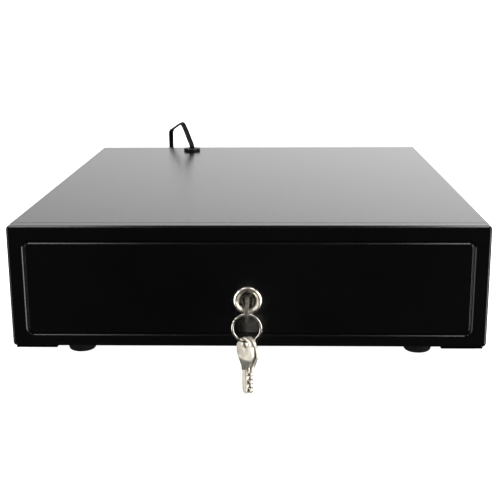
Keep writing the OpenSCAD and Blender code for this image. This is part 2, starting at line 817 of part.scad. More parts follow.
// Sprung note clip: a hub on the rod, a flat arm with a slot, and a pad that rests on the notes
module note_clip(i) {
    hub_r = 5;
    arm_t = 3;
    pad = [20, 6.4, 3];         // length, thickness and corner radius
    slot_margin = 7;
    drop = rod_z - till_z - till_t - slot_margin;
    slope = atan2(drop, clip_l);
    long = norm([drop, clip_l]);
    color("#4a4a4d") translate([bay_x(i), rod_y, rod_z]) difference() {
        union() {
            rod_along_x(hub_r, clip_w);
            along_x(clip_w) rotate(slope) translate([-long, -arm_t / 2]) square([long - arm_t, arm_t]);
            along_x(clip_w + 6) rotate(slope) translate([-long, 0]) rounded(pad[0], pad[1], pad[2]);
        }
        rod_along_x(rod_r + fit, 2 * clip_w);
        along_x(clip_w - 2 * slot_margin) rotate(slope)
            translate([-0.8 * long, -arm_t]) square([0.62 * long, 2 * arm_t]);
    }
}
module note_clip_1() { note_clip(0); }
module note_clip_2() { note_clip(1); }
module note_clip_3() { note_clip(2); }
module note_clip_4() { note_clip(3); }

module latch_bracket() {
    wide = 86;
    tall = 22;
    wall = 1.5;
    front = pivot_y - 14;
    rear = pivot_y + 21;
    left = pivot_x - 34;
    sleeve = 2.6;
    color(zinc) difference() {
        union() {
            translate([left, front, mech_z]) cube([wide, rear - front, deck_t]);
            translate([left, rear, mech_z]) cube([wide, wall, tall]);
            translate([pivot_x, pivot_y, 0]) post(pin_r + sleeve, deck_z - eps, lever_z - 0.4);
        }
        translate([pivot_x, pivot_y, 0]) post(pin_r + fit, 0, lever_z + 1);
    }
}

module latch_pin() {
    play = 0.35;
    head = [1.6, 1.25];
    head_z = lever_z + lever_t + play;
    color(nickel) translate([pivot_x, pivot_y, 0]) {
        post(pin_r, mech_z, head_z + eps);
        post(pin_r + head[0], head_z, head_z + head[1]);
    }
}

// Latch lever, swung clear of the strike; turning it by release_deg puts its claw before the strike
module latch_lever() {
    hub_r = 7;
    arm_w = 9;
    claw_w = 5;
    back = pivot_y - strike_y;
    claw_y = -back - strike_r - 0.5;
    claw_x = strike_x - pivot_x + strike_r;
    color("#a7a9ad") translate([pivot_x, pivot_y, lever_z]) rotate(-release_deg) difference() {
        union() {
            linear_extrude(lever_t) union() {
                circle(hub_r);
                translate([-arm_w / 2, claw_y - claw_w]) square([arm_w, back + hub_r + 1]);
                translate([-arm_w / 2, claw_y - claw_w]) square([claw_x + arm_w / 2, claw_w]);
                bar([0, 0], [0, link_l], link_r + 1.9);
            }
            translate([0, link_l, 0]) cylinder(r = link_r, h = lever_t + 3.2);
        }
        translate([0, 0, -eps]) cylinder(r = pin_r + fit, h = lever_t + 2 * eps);
    }
}

// Torsion spring around the lever's post
module latch_spring() {
    wire = 0.4;
    coil_r = pin_r + 3.3;
    len = 4.2;
    color(nickel) translate([pivot_x, pivot_y, deck_z + 0.6]) helix(coil_r, wire, len, 4, 12);
}

// Frame of the solenoid: a folded cradle open at the front, rear and top
module solenoid_frame() {
    len = 30;
    wide = 20;
    end_t = 2.6;
    floor_t = 1.6;
    drop = sol_z - deck_z;
    color(zinc) translate([sol_x, sol_y, sol_z]) difference() {
        translate([-len / 2, -wide / 2, -drop]) cube([len, wide, drop + wide / 2]);
        translate([end_t - len / 2, -wide / 2 - 1, floor_t - drop])
            cube([len - 2 * end_t, wide + 2, drop + wide]);
        rod_along_x(plunger_r + 0.6, 2 * len);
    }
}

module solenoid_coil() {
    coil_len = 24;
    color("#8a3b1e") translate([sol_x, sol_y, sol_z]) rotate([0, 90, 0]) difference() {
        cylinder(r = 2 * plunger_r - 0.4, h = coil_len, center = true);
        cylinder(r = plunger_r + 0.35, h = coil_len + 2, center = true);
    }
}

// Plunger, drawn in; its flat tongue has a cross slot around the lever's peg
module solenoid_plunger() {
    tongue = [5, 7.6, 2];
    peg_x = pivot_x + link_l * sin(release_deg);
    body_x = peg_x + 7;
    color(zinc) translate([0, sol_y, sol_z]) difference() {
        union() {
            translate([(body_x + sol_x) / 2, 0, 0]) rod_along_x(plunger_r, sol_x - body_x);
            translate([peg_x - tongue[0] + 1, -tongue[1] / 2, -tongue[2] / 2])
                cube([body_x - peg_x + tongue[0], tongue[1], tongue[2]]);
        }
        translate([peg_x, 0, -3]) linear_extrude(6) bar([0, -1], [0, 1], link_r + gap);
    }
}

// Drawer-open switch with its pin
module switch_body() {
    pin = [0.9, 0.7];
    color("#2c2c30") {
        translate([switch_x, switch_y, sheet]) cube(switch_case);
        translate([switch_x + 0.4 * switch_case[0], switch_y, switch_z + 2])
            rod_along_y(pin[0], -pin[1], eps);
    }
}

// Lever of the switch: a strip with a roller at its free end
module switch_lever() {
    strip_t = 0.4;
    pivot_r = 0.8;
    roller_r = 1.8;
    hinge_x = switch_x + switch_case[0] - 1;
    strip_y = switch_y - 2.4;
    color(nickel) {
        translate([switch_x, strip_y, switch_z]) cube([switch_case[0] - 1, strip_t, 4]);
        translate([hinge_x, strip_y + strip_t / 2, 0]) post(pivot_r, switch_z, switch_z + 4);
        translate([switch_x + 1.5, strip_y - 4 * strip_t, 0]) post(roller_r, switch_z, switch_z + 4);
    }
}

// Guide of the kick-out spring: a flange at the rear, a rod and a cap
module ejector_guide() {
    rod = 3;
    flange = [9, 2];
    rear = rear_y - sheet;
    color(zinc) translate([ejector_x, 0, slide_z]) {
        rod_along_y(rod, ejector_y, rear);
        rod_along_y(ejector_cap[0], ejector_y, ejector_y + ejector_cap[1]);
        rod_along_y(flange[0], rear - flange[1], rear);
    }
}

module ejector_spring() {
    wire = 0.8;
    first = ejector_y + ejector_cap[1] + 1;
    last = rear_y - sheet - 3;
    color(nickel) translate([ejector_x, first, slide_z]) rotate([-90, 0, 0])
        helix(5, wire, last - first, 8);
}

module cord_grommet() {
    edge = 1.5;
    high = 2 * edge;
    bore = 2.9;
    lip = [7.4, 1.8];
    color("#1c1c1e") translate([grommet_x, grommet_y, body_h]) rotate_extrude() difference() {
        union() {
            translate([0, -high]) square([grommet_neck, high + 2]);
            square([grommet_r, edge]);
            square([grommet_r - edge, high]);
            translate([grommet_r - edge, edge]) circle(edge);
            translate([0, -high]) square(lip);
        }
        translate([0, -2 * high]) square([bore, 4 * high]);
    }
}

module inner_lead() {
    color(jacket) swept(LEAD, cord_w, cord_t, [for (i = [0 : len(LEAD) - 1]) lead_side(i)]);
}

module cord_tube() {
    color(jacket) swept(CORD, cord_w, cord_t, [for (i = [0 : len(CORD) - 1]) cord_side(i)]);
}

// Section of the wound lead, ready to turn about the coil's centre
module coil_section() {
    translate([coil_r - coil_band / 2, 0]) square([coil_band, cord_w]);
}

module cord_coil() {
    color(jacket) translate([coil_x, coil_y, coil_z]) rotate_extrude($fn = 64) coil_section();
}

// Hook-and-loop tie around the coil's turns
module cord_tie() {
    wide = 9;
    color(jacket) translate([coil_x, coil_y, floor_z]) difference() {
        translate([-wide / 2, -coil_r - coil_band / 2 - tie_t, 0])
            cube([wide, coil_band + 2 * tie_t, cord_w + 2 * tie_t]);
        translate([0, 0, tie_t]) rotate_extrude($fn = 64) coil_section();
    }
}

// Six-way modular plug with its latching tab, lying inside the coil
module cord_plug() {
    shell = [15, 11.6, 6.7];
    tab = [11, 6, 1.2];
    slot = [5, 0.5, 3];
    slot_pitch = 1.02;
    first_slot = 2.75;          // from the plug's middle
    ways = 6;
    color("#d4d6d8") translate([coil_x - shell[0], coil_y + 1.7 - shell[1] / 2, floor_z]) difference() {
        union() {
            cube(shell);
            translate([2, (shell[1] - tab[1]) / 2, shell[2] - eps]) cube(tab);
        }
        for (i = [0 : ways - 1])
            translate([-eps, shell[1] / 2 - first_slot + i * slot_pitch, shell[2] - 2.4]) cube(slot);
    }
}

top_cover();
base_pan();
rear_panel();
cover_screws();
foot_front_left();
foot_front_right();
foot_rear_left();
foot_rear_right();
foot_screws();
slide_outer_left();
slide_outer_right();
slide_middle_left();
slide_middle_right();
slide_inner_left();
slide_inner_right();
cage_outer_left();
cage_outer_right();
cage_inner_left();
cage_inner_right();
drawer_tray();
front_panel();
panel_nuts();
latch_strike();
lock_barrel();
lock_nut();
lock_plug();
lock_cam();
cam_screw();
lock_keeper();
key_inserted();
key_ring();
key_front();
key_back();
till();
coin_tray();
clip_rod();
clip_springs();
note_clip_1();
note_clip_2();
note_clip_3();
note_clip_4();
latch_bracket();
latch_pin();
latch_lever();
latch_spring();
solenoid_frame();
solenoid_coil();
solenoid_plunger();
switch_body();
switch_lever();
ejector_guide();
ejector_spring();
cord_grommet();
inner_lead();
cord_tube();
cord_coil();
cord_tie();
cord_plug();
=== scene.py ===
"""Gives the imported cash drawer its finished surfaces, materials, light and camera.

Every new piece is a surface worked out with numpy or a merged and bevelled copy of a CAD node.
Lengths are metres in the drawer's own frame: X right, Y to the rear, Z up.
"""

import json
import math

import bmesh
import bpy
import numpy as np
from bpy.props import FloatProperty, FloatVectorProperty, IntProperty, PointerProperty
from mathutils import Matrix, Vector


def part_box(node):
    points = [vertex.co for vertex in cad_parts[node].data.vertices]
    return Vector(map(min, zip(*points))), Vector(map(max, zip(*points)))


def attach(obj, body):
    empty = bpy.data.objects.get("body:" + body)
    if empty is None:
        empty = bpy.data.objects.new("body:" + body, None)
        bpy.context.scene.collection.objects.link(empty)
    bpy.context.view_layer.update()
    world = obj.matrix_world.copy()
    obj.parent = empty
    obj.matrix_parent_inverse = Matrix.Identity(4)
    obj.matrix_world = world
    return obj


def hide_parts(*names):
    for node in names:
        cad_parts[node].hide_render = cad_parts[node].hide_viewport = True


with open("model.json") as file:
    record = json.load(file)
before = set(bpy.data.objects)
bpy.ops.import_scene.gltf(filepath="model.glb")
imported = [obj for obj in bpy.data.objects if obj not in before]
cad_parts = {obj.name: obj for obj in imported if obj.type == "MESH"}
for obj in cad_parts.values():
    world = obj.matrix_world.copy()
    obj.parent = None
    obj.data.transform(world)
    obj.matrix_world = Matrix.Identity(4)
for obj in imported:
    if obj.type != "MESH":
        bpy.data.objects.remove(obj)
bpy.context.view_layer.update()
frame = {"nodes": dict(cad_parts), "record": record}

bl_info = {
    "name": "Cash drawer finish",
    "version": (1, 0, 0),
    "blender": (4, 5, 0),
    "location": "View3D > Sidebar > Cash drawer",
    "description": "Finished surfaces, materials, light and camera for a steel cash drawer",
    "category": "Object",
}

MM = 0.001
SLOT_OF = {p["node"]: p["material_slot"] for p in frame["record"]["subparts"]}
BODY_OF = {n: b for b, members in frame["record"]["behaviour"]["bodies"].items() for n in members}


# ---- Colours and settings


def linear(code, alpha=None):
    """Linear colour of an sRGB hex code: each channel c is c/12.92 below 0.04045, else ((c+0.055)/1.055)^2.4."""
    c = np.array([int(code[i : i + 2], 16) / 255 for i in (1, 3, 5)])
    c = np.where(c <= 0.04045, c / 12.92, ((c + 0.055) / 1.055) ** 2.4)
    return tuple(c) if alpha is None else (*c, alpha)


def length(name, description, default):
    """A length setting in metres."""
    return FloatProperty(name=name, description=description, default=default, min=0.0, precision=5,
                         subtype="DISTANCE", unit="LENGTH")


def colour(name, description, code):
    """A colour setting, given as sRGB hex."""
    return FloatVectorProperty(name=name, description=description, default=linear(code), size=3,
                               min=0.0, max=1.0, subtype="COLOR")


class FrontSettings(bpy.types.PropertyGroup):
    """Sizes of the drawer front and the cover's sheet."""

    sheet: length("Sheet", "Thickness of the sheet steel", 1.0 * MM)
    bend: length("Bend", "Outside radius of the bends", 2.4 * MM)
    corner: length("Corner", "Radius of the front's corners", 3.0 * MM)
    fold: length("Fold", "Depth of the folds around the front", 10.0 * MM)
    bead_side: length("Bead side margin", "From the front's side to the bead", 10.5 * MM)
    bead_top: length("Bead top margin", "From the front's top to the bead", 10.5 * MM)
    bead_bottom: length("Bead bottom margin", "From the front's bottom to the bead", 8.2 * MM)
    bead_width: length("Bead width", "Width of the pressed bead", 3.2 * MM)
    bead_depth: length("Bead depth", "Depth of the pressed bead", 1.0 * MM)
    bead_corner: length("Bead corner", "Outside radius of the bead's corners", 6.0 * MM)
    flange: length("Flange", "Width of the cover's flanges under the base", 33.0 * MM)


class LeadSettings(bpy.types.PropertyGroup):
    """Sizes of the flat lead."""

    width: length("Width", "Width of the flat lead", 5.2 * MM)
    thickness: length("Thickness", "Thickness of the flat lead", 2.4 * MM)
    total: length("Length", "Real length of the lead outside the drawer", 1.2)
    turns: IntProperty(name="Turns", description="Turns of the stored coil", default=5, min=1, max=12)


class FinishSettings(bpy.types.PropertyGroup):
    """Colours of the finishes."""

    coat: colour("Coat", "Satin powder coat on the case and drawer", "#0A0A0B")
    zinc: colour("Zinc", "Bright zinc plate on pressings and slides", "#B7BBC2")
    steel: colour("Steel", "Bare spring steel and balls", "#BDBDBC")
    nickel: colour("Nickel", "Polished nickel plate on lock and ring", "#E6DFD2")
    key: colour("Key", "Stamped nickel silver of the keys", "#B9B4A8")
    rubber: colour("Rubber", "Moulded rubber of the feet", "#0D0D0E")
    till: colour("Till", "Grained ABS of the till and coin tray", "#1A1A1C")
    clip: colour("Clip", "Acetal of the note clips", "#3C3C40")
    jacket: colour("Jacket", "PVC jacket of the lead", "#050506")
    nylon: colour("Nylon", "Grommet, switch case and tie", "#08080A")


class StudioSettings(bpy.types.PropertyGroup):
    """Camera and light."""

    lens: FloatProperty(name="Lens", description="Focal length on a 36 mm sensor", default=69.2, unit="CAMERA")
    pitch: FloatProperty(name="Pitch", description="How far the camera looks down", default=0.2458, subtype="ANGLE")
    yaw: FloatProperty(name="Yaw", description="How far the camera turns left", default=0.0287, subtype="ANGLE")
    roll: FloatProperty(name="Roll", description="Turn about the line of sight", default=-0.006, subtype="ANGLE")
    eye: FloatVectorProperty(name="Eye", description="Place of the camera", size=3, subtype="XYZ", unit="LENGTH",
                             default=(0.0211, -0.8737, 0.2425))
    backdrop: FloatProperty(name="Backdrop", description="Brightness of the white backdrop", default=1.38, min=0.0)
    lamps: FloatProperty(name="Lamps", description="Brightness of the soft boxes", default=1.0, min=0.0)


# ---- Surfaces as arrays


def quads(rows, columns, rows_closed=False, columns_closed=True):
    """Faces of a grid stored row by row: cell (i, j) joins points (i, j), (i, j+1), (i+1, j+1) and (i+1, j)."""
    i, j = np.meshgrid(np.arange(rows - (not rows_closed)), np.arange(columns - (not columns_closed)), indexing="ij")
    i, j = i.ravel(), j.ravel()
    k, m = (i + 1) % rows, (j + 1) % columns
    return np.stack([i * columns + j, i * columns + m, k * columns + m, k * columns + j], axis=1).tolist()


def tube(rings, closed=False):
    """Closed skin through rings (ring, point, xyz): quads between rings, and a flat cap on each end ring."""
    rows, columns = rings.shape[:2]
    faces = quads(rows, columns, closed)
    if not closed:
        faces += [list(range(columns)), list(range((rows - 1) * columns, rows * columns))]
    return rings.reshape(-1, 3), faces


def arc(x, y, radius, start, stop, count=7):
    """Points on a circle about (x, y) at even steps of angle, in degrees."""
    a = np.radians(np.linspace(start, stop, count))
    return np.stack([x + radius * np.cos(a), y + radius * np.sin(a)], axis=1)


def rounded_ring(half_x, half_z, radius, count=9):
    """Outline of a rectangle with round corners: four quarter circles, centred radius inside each corner."""
    corners = [(half_x, half_z, 0), (-half_x, half_z, 90), (-half_x, -half_z, 180), (half_x, -half_z, 270)]
    return np.concatenate([arc(x - math.copysign(radius, x), z - math.copysign(radius, z), radius, a, a + 90, count)
                           for x, z, a in corners])


def lathe(profile, centre, axis="Z", segments=64, closed=True):
    """Surface of revolution: the profile's (radius, height) turned about an axis through centre."""
    a = np.linspace(0, 2 * math.pi, segments, endpoint=False)
    r, h = np.asarray(profile, float).T
    u, v = r[:, None] * np.cos(a), r[:, None] * np.sin(a)
    w = np.broadcast_to(h[:, None], u.shape)
    order = {"X": (w, u, v), "Y": (u, w, v), "Z": (u, v, w)}[axis]
    return tube(np.stack(order, axis=2) + np.array(centre), closed)


def along(path):
    """Unit tangents of a path: the difference of each point's two neighbours."""
    d = np.gradient(np.asarray(path, float), axis=0)
    return d / np.linalg.norm(d, axis=1, keepdims=True)


def sweep(path, across, section, closed=False):
    """Section carried along a path: each point is the path's point plus the section's first coordinate times the
    width direction made square to the tangent, plus its second times the tangent crossed with that direction."""
    path, t = np.asarray(path, float), along(path)
    if closed:
        t = np.roll(path, -1, axis=0) - np.roll(path, 1, axis=0)
        t /= np.linalg.norm(t, axis=1, keepdims=True)
    a = across - t * np.sum(across * t, axis=1, keepdims=True)
    a /= np.linalg.norm(a, axis=1, keepdims=True)
    b = np.cross(t, a)
    rings = path[:, None] + a[:, None] * section[None, :, :1] + b[:, None] * section[None, :, 1:]
    return tube(rings, closed)


def oval(width, height, power=1.0, count=20):
    """Section whose points are half the size times cosine and sine, each raised to a power and keeping its sign."""
    a = np.linspace(0, 2 * math.pi, count, endpoint=False)
    c, s = np.cos(a), np.sin(a)
    return np.stack([width / 2 * np.sign(c) * np.abs(c) ** power, height / 2 * np.sign(s) * np.abs(s) ** power], axis=1)


def slab(low, high, radius):
    """Block with round vertical corners and a small chamfer at top and bottom: rounded rectangles stacked in Z."""
    low, high = np.array(low, float), np.array(high, float)
    half, mid = (high - low) / 2, (high + low) / 2
    c = min(radius, half.min()) * 0.3
    rings = []
    for inset, z in ((c, low[2]), (0, low[2] + c), (0, high[2] - c), (c, high[2])):
        ring = rounded_ring(half[0] - inset, half[1] - inset, max(radius - inset, 1e-5), 5)
        rings.append(np.column_stack([ring + mid[:2], np.full(len(ring), z)]))
    return tube(np.array(rings))


def smoothstep(x):
    """0 below 0, 1 above 1, and 3x^2 - 2x^3 between."""
    x = np.clip(x, 0, 1)
    return x * x * (3 - 2 * x)


def smooth_curve(points, steps):
    """Catmull-Rom curve: between two points, the cubic whose end slopes are half the gap of the outer neighbours."""
    p = np.asarray(points, float)
    p = np.concatenate([[2 * p[0] - p[1]], p, [2 * p[-1] - p[-2]]])
    t = np.linspace(0, 1, steps, endpoint=False)[None, :, None]
    a, b, c, d = (p[i : len(p) - 3 + i, None] for i in range(4))
    curve = 0.5 * (2 * b + (c - a) * t + (2 * a - 5 * b + 4 * c - d) * t**2 + (3 * b - a - 3 * c + d) * t**3)
    return np.concatenate([curve.reshape(-1, p.shape[1]), p[-2:-1]])


def screw_head(centre, radius, height, facing):
    """Pan head with a cross recess on a grid of radius and angle. Its height falls as a circle near the rim, less a
    recess where the nearer of the two crossed slots is narrower than its half width, tapering to the slot's end."""
    rings, segments = 28, 64
    rho = radius * np.linspace(1, 0.0, rings, endpoint=False)
    a = np.linspace(0, 2 * math.pi, segments, endpoint=False)
    u, v = rho[:, None] * np.cos(a), rho[:, None] * np.sin(a)
    rim = np.clip(1 - ((rho / radius) ** 6), 0, 1) ** 0.5
    dome = height * (0.25 + 0.75 * rim)[:, None] * np.ones(segments)
    narrow, long = np.minimum(abs(u), abs(v)), np.maximum(abs(u), abs(v))
    cut = smoothstep((0.17 * radius - narrow) / (0.09 * radius)) * smoothstep((0.62 * radius - long) / (0.3 * radius))
    h = dome - 0.75 * height * cut
    ring = np.stack([u, v, h], axis=2)
    base = np.stack([u[0], v[0], np.zeros(segments)], axis=1)[None]
    points, faces = tube(np.concatenate([base, ring]))
    turn = {"-Z": np.array([[1, 0, 0], [0, -1, 0], [0, 0, -1]]), "+Y": np.array([[1, 0, 0], [0, 0, -1], [0, 1, 0]])}
    return points @ turn[facing].T + np.array(centre), faces


# ---- Pieces


def finish_mesh(mesh, sharp=35.0):
    """Merges doubles, turns the faces outwards and shades smooth with creases at sharp edges."""
    bm = bmesh.new()
    bm.from_mesh(mesh)
    bmesh.ops.remove_doubles(bm, verts=bm.verts, dist=2e-7)
    bmesh.ops.recalc_face_normals(bm, faces=bm.faces)
    bm.to_mesh(mesh)
    bm.free()
    mesh.shade_smooth()
    mesh.set_sharp_from_angle(angle=math.radians(sharp))


def piece(name, parts, body, slot, replaced=(), sharp=35.0, material=None):
    """One mesh object from several (points, faces) parts, riding on a body in its slot's material."""
    starts = np.cumsum([0] + [len(p) for p, _ in parts])
    mesh = bpy.data.meshes.new(name)
    faces = [[i + s for i in f] for s, (_, part) in zip(starts, parts) for f in part]
    mesh.from_pydata(np.concatenate([p for p, _ in parts]).tolist(), [], faces)
    finish_mesh(mesh, sharp)
    obj = place(name, mesh, body, slot, replaced, material)
    flats = obj.modifiers.new("flat_faces_stay_flat", "WEIGHTED_NORMAL")
    flats.keep_sharp = True
    return obj


def bright_metal():
    """The collection of small nickel parts, which have their own pair of lamps."""
    found = bpy.data.collections.get("bright_metal_parts")
    return found or bpy.data.collections.new("bright_metal_parts")


def linked(name, data):
    """A new object of that data, linked to the scene."""
    obj = bpy.data.objects.new(name, data)
    bpy.context.scene.collection.objects.link(obj)
    return obj


def place(name, mesh, body, slot, replaced=(), material=None):
    obj = linked(name, mesh)
    if slot in ("polished_nickel", "key_nickel"):
        bright_metal().objects.link(obj)
    mesh.materials.clear()
    mesh.materials.append(material or material_of(slot))
    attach(obj, body)
    if replaced:
        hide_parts(*replaced)
    return obj


def softened(node, width, segments=2, material=None):
    """Copy of a CAD node with its triangles merged into faces and its edges rounded by width."""
    bm = bmesh.new()
    bm.from_mesh(frame["nodes"][node].data)
    bmesh.ops.remove_doubles(bm, verts=bm.verts, dist=2e-6)
    bmesh.ops.dissolve_limit(bm, angle_limit=math.radians(0.4), verts=bm.verts, edges=bm.edges)
    mesh = bpy.data.meshes.new(node + "_finish")
    bm.to_mesh(mesh)
    bm.free()
    mesh.shade_smooth()
    obj = place(node + "_finish", mesh, BODY_OF[node], SLOT_OF[node], [node], material)
    bevel = obj.modifiers.new("edge", "BEVEL")
    bevel.width, bevel.segments, bevel.harden_normals = width, segments, True
    bevel.limit_method, bevel.angle_limit = "ANGLE", math.radians(32)
    return obj


# ---- Materials


def add(tree, kind, settings=()):
    """Adds a node. A socket in settings is linked to the input of that name, another value is set on it."""
    node = tree.nodes.new(kind)
    for key, value in dict(settings).items():
        if isinstance(value, bpy.types.NodeSocket):
            tree.links.new(value, node.inputs[key])
        elif isinstance(key, int) or key in node.inputs:
            node.inputs[key].default_value = value
        else:
            setattr(node, key, value)
    return node


def new_material(name, settings):
    """A material with one Principled shader and its Object coordinates: (material, tree, shader, coordinates)."""
    material = bpy.data.materials.new(name)
    material.use_nodes = True
    tree = material.node_tree
    tree.nodes.clear()
    shader = add(tree, "ShaderNodeBsdfPrincipled", settings)
    add(tree, "ShaderNodeOutputMaterial", {"Surface": shader.outputs[0]})
    return material, tree, shader, add(tree, "ShaderNodeTexCoord").outputs["Object"]


def noise(tree, vector, size, detail=2.0, stretch=(1, 1, 1)):
    """Noise whose patches are about size metres, drawn out along an axis by its stretch."""
    scaled = add(tree, "ShaderNodeMapping", {"Vector": vector, "Scale": tuple(1 / (size * s) for s in stretch)})
    return add(tree, "ShaderNodeTexNoise", {"Vector": scaled.outputs[0], "Scale": 1.0, "Detail": detail}).outputs[0]


def between(tree, value, low, high, start=0.3, stop=0.7):
    """Maps a pattern's range from start to stop onto low to high."""
    return add(tree, "ShaderNodeMapRange", {"Value": value, "From Min": start, "From Max": stop, "To Min": low,
                                            "To Max": high}).outputs[0]


def coloured(tree, shader, pattern, first, second):
    """Gives the shader a colour mixed from two linear ones by a pattern."""
    mix = add(tree, "ShaderNodeMix", {"data_type": "RGBA", 0: pattern, 6: first, 7: second}).outputs[2]
    tree.links.new(mix, shader.inputs[0])


def bumped(tree, shader, height, distance, strength=1.0):
    """Gives the shader a bump of that height."""
    bump = add(tree, "ShaderNodeBump", {"Height": height, "Distance": distance, "Strength": strength})
    tree.links.new(bump.outputs[0], shader.inputs["Normal"])


def shade(colour_value, factor):
    """A colour lightened or darkened by a factor, with alpha."""
    return tuple(min(c * factor, 1.0) for c in colour_value) + (1.0,)


def mottled(tree, shader, tone, pattern, dark, light):
    """Gives the shader a tone that a pattern moves between dark and light times itself."""
    coloured(tree, shader, between(tree, pattern, 0, 1), shade(tone, dark), shade(tone, light))


def satin_powder_coat(tone):
    """Polyester powder coat, baked: a low satin gloss over a fine orange peel, 1 to 2 mm across."""
    material, tree, shader, spot = new_material("satin_powder_coat", {"IOR": 1.5})
    cloud = noise(tree, spot, 60 * MM, 3.0)
    mottled(tree, shader, tone, cloud, 0.85, 1.2)
    peel = noise(tree, spot, 1.6 * MM, 3.0)
    tree.links.new(between(tree, peel, 0.2, 0.24), shader.inputs["Roughness"])
    bumped(tree, shader, peel, 0.01 * MM, 0.35)
    return material


def zinc_plate(tone):
    """Bright zinc plate on pressed steel: a metal with a faint blue and straw drift and rolling lines."""
    material, tree, shader, spot = new_material("bright_zinc_plate", {"Metallic": 1.0})
    drift = noise(tree, spot, 25 * MM, 2.0)
    mottled(tree, shader, tone, drift, 0.86, 1.08)
    lines = noise(tree, spot, 0.5 * MM, 2.0, (1, 40, 1))
    tree.links.new(between(tree, lines, 0.28, 0.42), shader.inputs["Roughness"])
    bumped(tree, shader, lines, 0.01 * MM, 0.4)
    return material


def spring_steel(tone):
    """Drawn spring steel: bright, with fine drawing marks."""
    material, tree, shader, spot = new_material("drawn_spring_steel", {"Metallic": 1.0})
    marks = noise(tree, spot, 0.4 * MM, 2.0)
    coloured(tree, shader, marks, shade(tone, 0.75), shade(tone, 1.1))
    tree.links.new(between(tree, marks, 0.2, 0.34), shader.inputs["Roughness"])
    return material


def polished_nickel(tone, smooth=0.24, worn=0.34):
    """Nickel plate over turned brass: warm and bright, softened by hairline handling scratches."""
    material, tree, shader, spot = new_material("polished_nickel_plate", {"Metallic": 1.0})
    haze = noise(tree, spot, 5 * MM, 3.0)
    mottled(tree, shader, tone, haze, 0.9, 1.05)
    tree.links.new(between(tree, haze, smooth, worn), shader.inputs["Roughness"])
    hair = noise(tree, spot, 0.25 * MM, 2.0, (1, 1, 12))
    bumped(tree, shader, hair, 0.004 * MM, 0.4)
    return material


def stamped_nickel_silver(tone):
    """Nickel silver keys, stamped and tumbled: matte, with worn lighter patches and small dents."""
    material, tree, shader, spot = new_material("stamped_nickel_silver", {"Metallic": 1.0})
    wear = noise(tree, spot, 4 * MM, 4.0)
    mottled(tree, shader, tone, wear, 0.72, 1.1)
    grain = noise(tree, spot, 0.3 * MM, 2.0, (1, 1, 6))
    tree.links.new(between(tree, grain, 0.5, 0.62), shader.inputs["Roughness"])
    bumped(tree, shader, grain, 0.02 * MM, 0.5)
    return material


def moulded_rubber(tone):
    """Moulded rubber: dull and soft, with a bloom of dust and a fine grain, coarser than real so that it shows."""
    material, tree, shader, spot = new_material("moulded_rubber", {"Roughness": 0.7})
    bloom = noise(tree, spot, 6 * MM, 4.0)
    mottled(tree, shader, tone, bloom, 0.8, 1.8)
    bumped(tree, shader, noise(tree, spot, 0.4 * MM), 0.03 * MM, 0.6)
    return material


def grained_plastic(name, tone, roughness, grain, depth, gloss=0.5):
    """Injection-moulded plastic: an even colour over a spark-eroded grain of that size, which breaks the gloss."""
    material, tree, shader, spot = new_material(name, {"Specular IOR Level": gloss})
    cells = add(tree, "ShaderNodeTexVoronoi", {"Vector": spot, "Scale": 1 / grain}).outputs[0]
    tree.links.new(between(tree, cells, roughness - 0.05, roughness + 0.08, 0.0, 0.8), shader.inputs["Roughness"])
    cloud = noise(tree, spot, 30 * MM)
    mottled(tree, shader, tone, cloud, 0.9, 1.12)
    bumped(tree, shader, cells, depth, 0.5)
    return material


def enamelled_copper():
    """Enamelled copper wire wound in layers: reddish metal gloss under varnish, lighter on the crowns of the turns."""
    material, tree, shader, spot = new_material("enamelled_copper_wire", {"Metallic": 0.75, "Coat Weight": 0.5})
    drift = noise(tree, spot, 2 * MM, 3.0, (0.3, 1, 1))
    coloured(tree, shader, between(tree, drift, 0, 1), linear("#7C3414", 1.0), linear("#B4582A", 1.0))
    tree.links.new(between(tree, drift, 0.28, 0.4), shader.inputs["Roughness"])
    return material


def hook_and_loop():
    """Hook-and-loop tape: matt nylon loops about half a millimetre apart."""
    material, tree, shader, spot = new_material("hook_and_loop_tape", {"Roughness": 0.85, "Sheen Weight": 0.4})
    loops = add(tree, "ShaderNodeTexVoronoi", {"Vector": spot, "Scale": 1 / (0.5 * MM)}).outputs[0]
    dark, light = linear("#0B0B0C", 1.0), linear("#2A2A2D", 1.0)
    coloured(tree, shader, between(tree, loops, 0, 1, 0.1, 0.7), light, dark)
    bumped(tree, shader, loops, 0.15 * MM, 0.8)
    return material


def clear_polycarbonate():
    """Clear polycarbonate of the modular plug: glassy, faintly blue, with flow marks from moulding."""
    material, tree, shader, spot = new_material(
        "clear_polycarbonate", {"Transmission Weight": 0.85, "IOR": 1.58, "Roughness": 0.06})
    flow = noise(tree, spot, 3 * MM, 2.0)
    coloured(tree, shader, between(tree, flow, 0, 1), linear("#DCE3E8", 1.0), linear("#F4F7F8", 1.0))
    bumped(tree, shader, flow, 0.05 * MM, 0.3)
    return material


def gold_flash():
    """Gold flash on the plug's contact blades: a yellow metal, slightly worn where it is crimped."""
    material, tree, shader, spot = new_material("gold_flash", {"Metallic": 1.0})
    wear = noise(tree, spot, 0.5 * MM)
    coloured(tree, shader, wear, linear("#C9972F", 1.0), linear("#E6C367", 1.0))
    tree.links.new(between(tree, wear, 0.2, 0.35), shader.inputs["Roughness"])
    return material


MATERIALS = {}


